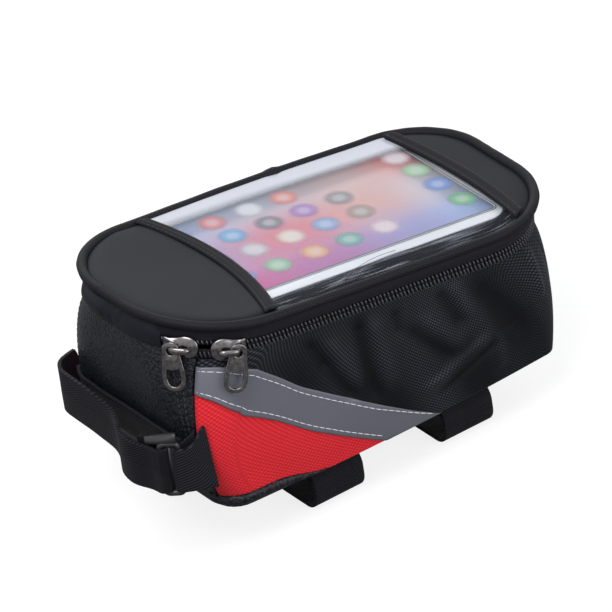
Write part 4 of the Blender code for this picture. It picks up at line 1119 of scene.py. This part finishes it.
class PHONEBAG_OT_zip(bpy.types.Operator):
    """Make the band, the zip's tapes and coils, and the rolled edge at the front"""
    bl_idname = "phonebag.zip"
    bl_label = "Zip"

    def execute(self, context):
        start, stop = ZIP_END, 5.0 - ZIP_END
        length = 0.492

        def band(u, v):
            station = between((start, stop), u)
            calm = math.exp(-((station + 0.25) / 0.4) ** 2)
            bulge = 0.7 * MM * math.sin(math.pi * v) * (1.0 - calm) - 0.25 * MM * calm
            return ring_point(station, 0.5 * MM - bulge, between(BAND_HEIGHTS, v))

        piece("side_band", laid_grid(300, 8, band, (length, BAND_HEIGHTS[0] - BAND_HEIGHTS[1])), "band", "lid",
              ["lid_side_band"], thick=1.0 * MM, hub=RIM_HUB)
        for label, body, heights in (("upper", "lid", UPPER_TAPE_HEIGHTS), ("lower", "bag", LOWER_TAPE_HEIGHTS)):
            def tape(u, v):
                station = between((start, stop), u)
                part = zip_gape(station) * (0.9 * v if label == "upper" else -1.3 - 1.6 * v) * MM
                return ring_point(station, 1.5 * MM, between(heights, v) + part)

            piece(f"{label}_zip_tape", laid_grid(300, 4, tape, (length, 3.0 * MM)), "zip tape", body,
                  thick=0.5 * MM, hub=RIM_HUB)
            self.coil(label, body, context)
        self.lip()
        return {"FINISHED"}

    def coil(self, label, body, context):
        """One row of nylon coil: each turn shows as a short slanted bar with a bright back."""
        upper = label == "upper"
        pitch = settings(context).sizes.tooth_pitch
        start = LIP_END + 0.01
        spots = even_stations(start, 5.0 - start, pitch / 2, lambda s: ring_point(s, 0.5 * MM, -ZIP_LINE))
        builder = bmesh.new()
        for k, station in enumerate(spots):
            if k % 2 != (0 if upper else 1):
                continue
            open_share = zip_gape(station)
            w = -ZIP_LINE + (1.3 * MM + 0.9 * MM * open_share if upper else -1.5 * MM - 2.0 * MM * open_share)
            centre = ring_point(station, 1.0 * MM, w)
            up = (ring_point(station, 1.0 * MM, w + MM) - centre).normalized()
            out = (ring_point(station, 0.0, w) - centre).normalized()
            along = up.cross(out).normalized()
            lean = Matrix.Rotation(COIL_LEAN, 3, out)
            axes = Matrix(((lean @ along) * COIL_ALONG, out * COIL_OUT, (lean @ up) * COIL_UP[label])).transposed()
            bmesh.ops.create_uvsphere(builder, u_segments=8, v_segments=6, radius=1.0,
                                      matrix=Matrix.Translation(centre) @ axes.to_4x4())
        piece(f"{label}_zip_coil", builder, "coil", body, [f"{label}_zip_chain"])

    def lip(self):
        """The padded roll at the front, where the zip ends and the lid bends."""
        start, stop = 5.0 - LIP_END, 8.0 + LIP_END

        def roll(u, v):
            station = between((start, stop), u)
            ends = min(1.0, 14.0 * min(u, 1.0 - u) + 0.35)
            bulge = 1.9 * MM * ends * math.sin(math.pi * min(1.0, 0.08 + 0.92 * v)) ** 0.7
            crease = 0.35 * MM * noise.noise(Vector((station * 5.0, v * 2.0, 0.0)))
            crease += 2.2 * MM * math.exp(-((station - 6.05) / 0.3) ** 2) * math.sin(math.pi * min(1.0, v + 0.1))
            return ring_point(station, 0.9 * MM - bulge - crease, between(ROLL_HEIGHTS, v))

        made = piece("front_roll", laid_grid(140, 18, roll, (0.1, 0.0125)), "lip", None,
                     ["front_gusset"], thick=1.6 * MM, hub=RIM_HUB)
        # The modifiers are fixed into the mesh
        settled = evaluated_mesh(made)
        made.modifiers.clear()
        made.data = settled
        ring_point(6.5, 0.0, -9.5 * MM)
        ring_point(6.5, 0.0, -3.0 * MM)
        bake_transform(made)


def slider_frame(angle):
    """x along the zip to the rear, y up the slider's face, z out of the bag, at the zip line."""
    station = angle / (math.pi / 2) - 1.0
    turn = math.pi + angle
    out = Vector((math.cos(turn), math.sin(turn), 0.0))
    along = Vector((-math.sin(turn), math.cos(turn), 0.0))
    lean = Matrix.Rotation(-math.radians(6.0), 3, along)
    axes = Matrix((along, lean @ UP, lean @ out)).transposed()
    return Matrix.Translation(ring_point(station, -0.5 * MM, -ZIP_LINE)) @ (LID_FRAME.to_3x3() @ axes).to_4x4()


def cut_plate(name, outlines, thickness, rim):
    """A flat plate with holes, from a filled curve: the first outline is its edge."""
    curve = bpy.data.curves.new(name, "CURVE")
    curve.dimensions = "2D"
    curve.fill_mode = "BOTH"
    curve.extrude = thickness / 2 - rim
    curve.bevel_depth = rim
    curve.bevel_resolution = 2
    for outline in outlines:
        line = curve.splines.new("POLY")
        line.points.add(len(outline) - 1)
        for spot, (x, y) in zip(line.points, outline):
            spot.co = (x, y, 0.0, 1.0)
        line.use_cyclic_u = True
    shape = linked(name, curve)
    mesh = evaluated_mesh(shape)
    bpy.data.objects.remove(shape)
    bpy.data.curves.remove(curve)
    builder = bmesh.new()
    builder.from_mesh(mesh)
    bpy.data.meshes.remove(mesh)
    bmesh.ops.remove_doubles(builder, verts=builder.verts, dist=0.000005)
    bmesh.ops.recalc_face_normals(builder, faces=builder.faces)
    return builder


class PHONEBAG_OT_sliders(bpy.types.Operator):
    """Make both zip sliders with their bridges and pull tabs"""
    bl_idname = "phonebag.sliders"
    bl_label = "Sliders"

    def execute(self, context):
        for number, angle in enumerate(SLIDER_ANGLES, 1):
            wide = 1.0 if number == 1 else -1.0
            place = slider_frame(angle)
            self.body(number, wide, place)
            self.tab(number, wide, place)
        return {"FINISHED"}

    def body(self, number, wide, place):
        """A domed plate with flared corners at its narrow end, and the thick bail over it."""
        half = [(7.5, 0.0), (7.3, 1.6), (6.6, 3.0), (5.4, 4.1), (3.8, 4.8), (2.2, 5.05), (0.6, 4.9), (-1.2, 4.3),
                (-3.0, 4.0), (-4.4, 4.0), (-5.8, 4.1), (-7.0, 4.3), (-7.4, 4.0), (-7.4, 2.4)]
        outline = half + [(-7.25, 0.0)] + [(x, -y) for x, y in reversed(half[1:])]
        levels = ((0.0, 0.1), (0.97, 0.0), (1.0, 0.3), (1.0, 0.95), (0.95, 1.25), (0.82, 1.6), (0.62, 1.95),
                  (0.35, 2.2), (0.0, 2.3))

        def skin(u, v):
            x, y = outline[round(u * len(outline)) % len(outline)]
            scale, z = levels[round(v * (len(levels) - 1))]
            curl = 0.25 * max(0.0, -x - 4.0) / 3.5 * scale
            return Vector((wide * (1.5 + (x - 1.5) * scale), y * scale, z + curl)) * MM

        builder = laid_grid(len(outline), len(levels) - 1, skin, (0.03, 0.01), joined=True)
        bmesh.ops.recalc_face_normals(builder, faces=builder.faces)
        piece(f"slider_{number}_plate", moved(builder, place), "metal", f"slider_{number}",
              [f"zip_slider_{number}"], subdivide=1)
        arch = []
        for step in range(21):
            turn = math.pi * step / 20
            x = -math.copysign(abs(math.cos(turn)) ** 0.55, math.cos(turn)) * 3.9 * MM
            arch.append(Vector((x, -0.4 * MM, 1.5 * MM + 3.2 * MM * math.sin(turn) ** 0.5)))
        tangents = tangents_of(arch)
        wide_way = Vector((0.0, 1.0, 0.0))
        builder = tube_grid(arch, lambda u: (1.05 * MM, (1.0 + 0.5 * math.sin(math.pi * u)) * 1.05 * MM), 14,
                            lambda k: tangents[k].cross(wide_way), lambda k: wide_way)
        piece(f"slider_{number}_bridge", moved(closed_ends(builder), place), "metal", f"slider_{number}",
              subdivide=1)

    def tab(self, number, wide, place):
        leg = place @ Vector((-wide * 3.8 * MM, -0.2 * MM, 3.1 * MM))
        where = place @ Matrix.Rotation(TAB_REST_TURNS[number - 1], 4, "Z")
        where.translation = leg
        right = [(3.3, -0.4), (2.8, 1.3), (1.6, 2.3), (0.0, 2.6)]
        left = [(-3.3, -0.4), (-3.4, -2.6), (-3.9, -6.0), (-4.5, -10.0), (-4.65, -13.2), (-4.2, -15.6), (-2.9, -17.4),
                (-1.2, -18.2)]
        outer = right + [(-x, y) for x, y in reversed(right[1:3])] + left + [(-x, y) for x, y in reversed(left[1:])]
        eye = [(2.1 * math.cos(math.radians(20 * k)), -1.1 + 2.1 * math.sin(math.radians(20 * k))) for k in range(18)]
        side = [(2.9, -8.4), (3.25, -10.4), (3.4, -13.0), (3.0, -15.1), (2.1, -16.5), (0.8, -17.1)]
        grip = [(-2.9, -8.4), (0.0, -9.1)] + side + [(-x, y) for x, y in reversed(side[1:])]
        outlines = [[(x * MM, y * MM) for x, y in outline] for outline in (outer, eye, grip)]
        builder = cut_plate(f"tab_{number}", outlines, TAB_THICK, 0.4 * MM)
        piece(f"pull_tab_{number}_plate", moved(builder, where), "metal", f"tab_{number}",
              [f"pull_tab_{number}"])


class PHONEBAG_OT_walls(bpy.types.Operator):
    """Sew the walls: leatherette front, polyester sides, red fields and reflective tapes"""
    bl_idname = "phonebag.walls"
    bl_label = "Walls"

    def execute(self, context):
        sheet = wall_sheet(5.0 - SEAM, 8.0 + SEAM, level(0.0), wall_rim, 120, 60, kind="leather")
        made = piece("front_leather", sheet, "pebbled", "bag", ["front_panel"],
                     thick=CLOTH_THICK, hub=WALL_HUB)

        def above(station):
            return max(0.0, along_edge(REFLECTOR_TOP, near_station(station)) - 0.02)

        made = piece("side_cloth", wall_sheet(SEAM, 5.0 - SEAM, above, wall_rim, 420, 64), "side polyester", "bag",
                     ["side_and_rear_panel"], thick=CLOTH_THICK, hub=WALL_HUB)
        for label, near in (("near", True), ("far", False)):
            self.side(label, near, context)
        self.front_stitches()
        return {"FINISHED"}

    def side(self, label, near, context):
        def mirror(station):
            return station if near else 5.0 - station

        def low(station):
            return max(0.0, along_edge(REFLECTOR_LOW, near_station(station)))

        def high(station):
            return max(0.0, along_edge(REFLECTOR_TOP, near_station(station)))

        sheet = wall_sheet(mirror(SEAM), mirror(0.445), level(0.0), lambda s: low(s) + 0.012, 90, 44, kind="red")
        made = piece(f"{label}_red_cloth", sheet, "accent polyester", "bag", [f"{label}_red_panel"],
                     thick=CLOTH_THICK, hub=WALL_HUB)
        sheet = wall_sheet(mirror(SEAM), mirror(0.622), low, high, 130, 20, proud=0.55 * MM)
        piece(f"{label}_reflector", sheet, "reflector", "bag", [f"{label}_reflective_tape"],
              thick=0.5 * MM, hub=WALL_HUB)
        builder = bmesh.new()
        sizes = settings(context).sizes
        for share, last in ((0.14, 0.42), (0.87, 0.59)):
            stations = [mirror(SEAM + 0.015 + (last - SEAM) * k / 160) for k in range(161)]
            heights = [between((low(s), high(s)), share) for s in stations]
            points = [skin_point(s, h, 0.6 * MM) for s, h in zip(stations, heights)]
            out = [wall_normal(s, h) for s, h in zip(stations, heights)]
            thread_run(builder, points, out, sizes.stitch_length, REFLECTOR_STITCH_GAP, REFLECTOR_THREAD)
        piece(f"{label}_reflector_stitches", builder, "white thread", "bag")

    def front_stitches(self):
        """Two rows of short stitches down both side seams of the leatherette."""
        builder = bmesh.new()
        for edge, sign in ((8.0 + SEAM, -1.0), (5.0 - SEAM, 1.0)):
            for offset in (0.1, 0.17):
                station = edge + sign * offset
                heights = [0.05 + 0.9 * k / 80 for k in range(81)]
                points = [skin_point(station, h, -0.1 * MM, "leather") for h in heights]
                out = [wall_normal(station, h) for h in heights]
                thread_run(builder, points, out, *SEAM_STITCH)
        piece("front_seam_stitches", builder, "black thread", "bag")


class PHONEBAG_OT_underside(bpy.types.Operator):
    """Roll the leatherette binding round the underside's front edge"""
    bl_idname = "phonebag.underside"
    bl_label = "Underside"

    def execute(self, context):
        side_front, side_rear = BOTTOM[0] + BOTTOM[3], BOTTOM[1] - BOTTOM[4]
        reach = (BINDING_START_X - side_front) / (side_rear - side_front)
        start, stop = 5.0 - reach, 8.0 + reach

        def roll(u, v):
            station = between((start, stop), u)
            x, y = outline_point(station, BOTTOM)
            radius = max(0.35 * MM, (HEM_RISE * hem_share(x) - 0.1 * MM) / 2)
            turn = 2 * math.pi * v
            wide = radius * (1.0 + 0.12 * noise.noise(Vector((x * 60.0, y * 60.0, 0.0))))
            inset = radius - 0.6 * MM - wide * math.cos(turn)
            spot = Vector((*outline_point(station, drawn_in(BOTTOM, inset)), 0.0))
            return spot + Vector((0.0, 0.0, HEM_HEIGHT + radius + (radius + 0.15 * MM) * math.sin(turn)))

        builder = closed_ends(laid_grid(150, 14, roll, (0.2, 0.017), joined=True))
        piece("underside_binding", builder, "pebbled", "bag", ["bottom_binding"])
        return {"FINISHED"}


def smooth_path(points, per_span=8):
    """A Catmull-Rom curve through plan points."""
    padded = [points[0] * 2 - points[1], *points, points[-1] * 2 - points[-2]]
    path = []
    for before, start, stop, after in zip(padded, padded[1:], padded[2:], padded[3:]):
        for step in range(per_span):
            t = step / per_span
            path.append(0.5 * (2 * start + (stop - before) * t
                               + (2 * before - 5 * start + 4 * stop - after) * t * t
                               + (3 * start - before - 3 * stop + after) * t ** 3))
    return path + [points[-1]]


def plan(*points):
    """Plan points given in millimetres."""
    return [Vector(point) * MM for point in points]


class PHONEBAG_OT_straps(bpy.types.Operator):
    """Cut and sew the webbing: front strap, ring and its tab, and both underside loops"""
    bl_idname = "phonebag.straps"
    bl_label = "Straps"
    RING_WIRE = 1.4 * MM
    NEAR_BAR = Vector((-101.5 * MM, -39.5 * MM))
    FAR_BAR = Vector((-107.1 * MM, -34.6 * MM))
    LOW = 19.8 * MM
    WIDTH = 20.5 * MM
    THICK = 1.6 * MM

    def execute(self, context):
        width = settings(context).sizes.webbing_width
        self.front(self.WIDTH)
        self.anchor(self.WIDTH)
        self.ring(self.WIDTH)
        for label, centre_x in LOOP_CENTRES:
            self.loop(label, centre_x, width)
        return {"FINISHED"}

    def ribbon(self, name, path, width, place, replaces, closed=False, paint="webbing"):
        """Webbing along a path, with its long edges rounded over."""
        run = run_lengths(path)
        last = len(path) - 1

        def spot(u, v):
            return place(path[min(last, round(u * last))], v, run[min(last, round(u * last))])

        builder = laid_grid(last, 10, spot, (run[-1], width), joined=closed)
        made = piece(name, builder, paint, "bag", replaces, thick=self.THICK, offset=0.0)
        soft = made.modifiers.new("Edge", "BEVEL")
        soft.width = EDGE_ROUNDING
        soft.segments = 2
        soft.limit_method = "ANGLE"

    def upright(self, point, v, distance):
        """Webbing that stands on its edge over a plan point, and leans and widens towards the bag."""
        share = min(1.0, max(0.0, (point.x + 103.0 * MM) / (10.0 * MM)))
        sag = 0.35 * MM * noise.noise(Vector((distance * 30.0, v * 2.0, 5.0)))
        near = point.y < 0
        flare = min(1.0, max(0.0, (point.x + 99.0 * MM) / (7.0 * MM))) if near else 0.0
        rise = 4.0 * MM * min(1.0, max(0.0, (point.y - self.FAR_BAR.y - 6.0 * MM) / MIDDLE[2]))
        low = self.LOW + rise - 2.0 * MM * flare
        high = self.LOW + self.WIDTH + rise + 8.0 * MM * flare
        lean = (2.5 if near else 7.0) * MM * share * (1.0 - v)
        inward = 3.4 * MM * flare if near else 0.0
        return Vector((point.x + lean + sag, point.y + inward, low + (high - low) * v))

    def turn_round(self, bar, towards, square, start, stop, steps=8):
        """Plan points of webbing that turns round an upright bar of the ring, from start to stop degrees."""
        wrap = self.RING_WIRE + 0.3 * MM + self.THICK / 2
        turns = [math.radians(start + (stop - start) * k / steps) for k in range(steps + 1)]
        return [bar + wrap * (towards * math.sin(turn) + square * math.cos(turn)) for turn in turns]

    def front(self, width):
        across = (self.FAR_BAR - self.NEAR_BAR).normalized()
        square = Vector((-across.y, across.x))
        tab = plan((-91.2, -49.3), (-95.4, -47.1)) + self.turn_round(self.NEAR_BAR, across, square, 0, 175)
        tab += plan((-97.8, -39.9), (-95.9, -42.6), (-94.5, -44.6))
        self.ribbon("ring_webbing", smooth_path(tab, 3), width, self.upright, ["ring_tab"], paint="chevron webbing")
        strap = plan((-91.6, 48.4), (-95.8, 47.5), (-99.8, 46.0), (-102.7, 43.2), (-104.6, 38.5), (-105.0, 28.0),
                     (-105.1, 14.0), (-105.5, 2.0), (-108.4, -6.0), (-112.4, -13.0), (-113.3, -21.6),
                     (-110.3, -29.6))
        strap += self.turn_round(self.FAR_BAR, -across, square, -42, 131)
        strap += plan((-105.1, -28.1), (-107.7, -20.1))
        self.ribbon("head_tube_strap", smooth_path(strap, 4), width, self.upright, ["front_strap"])

    def anchor(self, width):
        """Webbing sewn flat across the nose, following the leatherette."""
        def height_at(station, z):
            low, high = 0.0, 1.0
            for _ in range(18):
                middle = (low + high) / 2
                low, high = (middle, high) if wall_point(station, middle).z < z else (low, middle)
            return low

        start, reach = 5.5, 1.75
        length = run_lengths([wall_point(start + reach * k / 40, 0.4) for k in range(41)])[-1]

        def place(u, v):
            station = start + reach * u
            return skin_point(station, height_at(station, self.LOW + width * v), 1.3 * MM, "leather")

        piece("nose_webbing", laid_grid(70, 10, place, (length, width)), "webbing", "bag",
              ["strap_anchor"], thick=1.3 * MM, offset=0.0, hub=TOP_HUB)

    def ring(self, width):
        """The ring of round wire, the sloping bar over it and the thin web between its bars."""
        across = (self.FAR_BAR - self.NEAR_BAR).normalized()
        square = Vector((-across.y, across.x, 0.0))
        gap = 0.3 * MM + self.RING_WIRE
        low, high = self.LOW - gap, self.LOW + width + gap
        run = (self.FAR_BAR - self.NEAR_BAR).length
        outline = rounded_box((run / 2, (low + high) / 2), (run, high - low), 2.0 * MM, 5)
        points = [Vector((*(self.NEAR_BAR + across * x), z)) for x, z in outline]
        count = len(points)

        def wire(k):
            before, after = points[k - 1], points[(k + 1) % count]
            return (after - before).cross(square).normalized()

        builder = tube_grid(points, lambda u: (self.RING_WIRE, self.RING_WIRE), 14, wire, lambda k: square, closed=True)
        bmesh.ops.recalc_face_normals(builder, faces=builder.faces)
        piece("webbing_ring", builder, "ring", "bag", ["strap_ring"])
        first, last = Vector((*self.NEAR_BAR, high + 2.6 * MM)), Vector((-109.6 * MM, -27.5 * MM, high + 0.2 * MM))
        crown = [first.lerp(last, k / 16) for k in range(17)]

        def crown_radii(u):
            return 2.8 * MM * math.sin(math.pi * (0.12 + 0.76 * u)) ** 0.6, (2.7 - 1.2 * u) * MM

        builder = tube_grid(crown, crown_radii, 16, lambda k: square, lambda k: UP)
        piece("buckle_top_bar", closed_ends(builder), "ring", "bag", subdivide=1)
        middle = (self.NEAR_BAR + self.FAR_BAR) / 2
        plate = bmesh.new()
        axes = Matrix((Vector((*across, 0.0)) * run * 0.9, square * 0.5 * MM, UP * (high - low)))
        axes = axes.transposed().to_4x4()
        bmesh.ops.create_cube(plate, size=1.0, matrix=Matrix.Translation((*middle, (high + low) / 2)) @ axes)
        piece("buckle_web", plate, "ring", "bag")

    def loop(self, label, centre_x, width):
        """A closed loop of webbing that hangs under the bag, for the top tube."""
        top, low = LOOP_TOP - self.THICK / 2, LOOP_LOW + self.THICK / 2
        reach = 2 * LOOP_HALF_WIDTH - self.THICK
        outline = rounded_box((0.0, (top + low) / 2), (reach, top - low), LOOP_CORNER - self.THICK / 2)
        path = [Vector(point) for point in outline]
        fine = []
        for k, point in enumerate(path):
            after = path[(k + 1) % len(path)]
            pieces = max(1, int((after - point).length / (3.0 * MM)))
            fine += [point.lerp(after, j / pieces) for j in range(pieces)]
        fine.append(path[0].copy())

        def place(point, v, distance):
            return Vector((centre_x + width * (v - 0.5), point.x, point.y))

        self.ribbon(f"{label}_tube_loop", fine, width, place, [f"{label}_bottom_strap"], closed=True)


class PHONEBAG_OT_stage(bpy.types.Operator):
    """Set the floor, the lamps and the camera"""
    bl_idname = "phonebag.stage"
    bl_label = "Stage"

    def execute(self, context):
        scene = context.scene
        scene.view_settings.view_transform = "Standard"
        builder = bmesh.new()
        bmesh.ops.create_grid(builder, x_segments=1, y_segments=1, size=FLOOR_SIZE)
        bmesh.ops.translate(builder, verts=builder.verts, vec=(0.0, 0.0, FLOOR_HEIGHT))
        floor = linked("floor", mesh_of("floor", builder))
        floor.data.materials.append(self.paper())
        self.lamps()
        self.world(scene)
        self.camera(scene)
        return {"FINISHED"}

    def paper(self):
        """White seamless paper: its own colour, with a little light of its own for the camera only."""
        made, tree, shader = new_finish("seamless_paper_white", Base_Color=(0.22, 0.22, 0.22, 1.0), Roughness=0.9)
        ray = add(tree, "ShaderNodeLightPath").outputs["Is Camera Ray"]
        glow = add(tree, "ShaderNodeEmission", {"Strength": 0.82})
        none = add(tree, "ShaderNodeEmission", {"Strength": 0.0})
        lit = add(tree, "ShaderNodeMixShader", {0: ray, 1: none.outputs[0], 2: glow.outputs[0]})
        both = add(tree, "ShaderNodeAddShader", {0: shader.outputs[0], 1: lit.outputs[0]})
        tree.links.new(both.outputs[0], tree.nodes["Material Output"].inputs["Surface"])
        return made

    def lamps(self):
        for name, spot, size, power in LAMPS:
            lamp = bpy.data.lights.new(name, "AREA")
            lamp.size = size
            lamp.energy = power
            made = linked(name, lamp)
            made.location = spot
            made.rotation_euler = (LAMP_TARGET - Vector(spot)).to_track_quat("-Z", "Y").to_euler()

    def world(self, scene):
        """Even light all round; the camera, mirrors and glass see plain white."""
        world = bpy.data.worlds.new("studio")
        scene.world = world
        world.use_nodes = True
        tree = world.node_tree
        tree.nodes.clear()
        paths = add(tree, "ShaderNodeLightPath")
        seen = maths(tree, "MAXIMUM", paths.outputs["Is Camera Ray"], paths.outputs["Is Glossy Ray"])
        seen = maths(tree, "MAXIMUM", seen, paths.outputs["Is Transmission Ray"])
        light = add(tree, "ShaderNodeBackground", {"Color": (0.93, 0.96, 1.0, 1.0), "Strength": 0.4})
        white = add(tree, "ShaderNodeBackground", {"Color": (1.0, 1.0, 1.0, 1.0), "Strength": 1.0})
        both = add(tree, "ShaderNodeMixShader", {0: seen, 1: light.outputs[0], 2: white.outputs[0]})
        add(tree, "ShaderNodeOutputWorld", {"Surface": both.outputs[0]})

    def camera(self, scene):
        """A long lens 5 m away, at the bag's three-quarter view from above."""
        azimuth, elevation, roll = CAMERA_ANGLES
        right = Vector((math.cos(azimuth), math.sin(azimuth), 0.0))
        back = Vector((math.sin(azimuth) * math.cos(elevation), -math.cos(azimuth) * math.cos(elevation),
                       math.sin(elevation)))
        up = back.cross(right)
        right, up = (right * math.cos(roll) + up * math.sin(roll), up * math.cos(roll) - right * math.sin(roll))
        target = UP * LID_CENTRE_HEIGHT - right * CAMERA_SHIFT[0] - up * CAMERA_SHIFT[1]
        data = bpy.data.cameras.new("camera")
        data.sensor_width = CAMERA_SENSOR
        data.lens = CAMERA_SENSOR * CAMERA_DISTANCE / CAMERA_SPAN
        data.clip_start = 0.5
        data.clip_end = 20.0
        made = linked("camera", data)
        axes = Matrix((right, up, back)).transposed().to_4x4()
        made.matrix_world = Matrix.Translation(target + back * CAMERA_DISTANCE) @ axes
        scene.camera = made


OPERATORS = (PHONEBAG_OT_finishes, PHONEBAG_OT_lid, PHONEBAG_OT_phone, PHONEBAG_OT_window, PHONEBAG_OT_zip,
             PHONEBAG_OT_sliders, PHONEBAG_OT_walls, PHONEBAG_OT_underside, PHONEBAG_OT_straps,
             PHONEBAG_OT_stage)


class PHONEBAG_PT_panel(bpy.types.Panel):
    """Sizes, colours and steps of the bag"""
    bl_idname = "PHONEBAG_PT_panel"
    bl_label = "Phone Bag"
    bl_space_type = "VIEW_3D"
    bl_region_type = "UI"
    bl_category = "Phone Bag"

    def draw(self, context):
        bag = settings(context)
        for group in (bag.colours, bag.sizes):
            column = self.layout.column(align=True)
            for name in group.__annotations__:
                column.prop(group, name)
        for operator in OPERATORS:
            self.layout.operator(operator.bl_idname)


CLASSES = (PhoneBagColours, PhoneBagSizes, PhoneBagProperties, *OPERATORS, PHONEBAG_PT_panel)


def register():
    for cls in CLASSES:
        bpy.utils.register_class(cls)
    bpy.types.Scene.phone_bag = bpy.props.PointerProperty(type=PhoneBagProperties)


def unregister():
    del bpy.types.Scene.phone_bag
    for cls in reversed(CLASSES):
        bpy.utils.unregister_class(cls)


def main():
    register()
    for step in ("finishes", "lid", "phone", "window", "zip", "sliders", "walls", "underside", "straps", "stage"):
        getattr(bpy.ops.phonebag, step)()


if __name__ == "__main__":
    main()
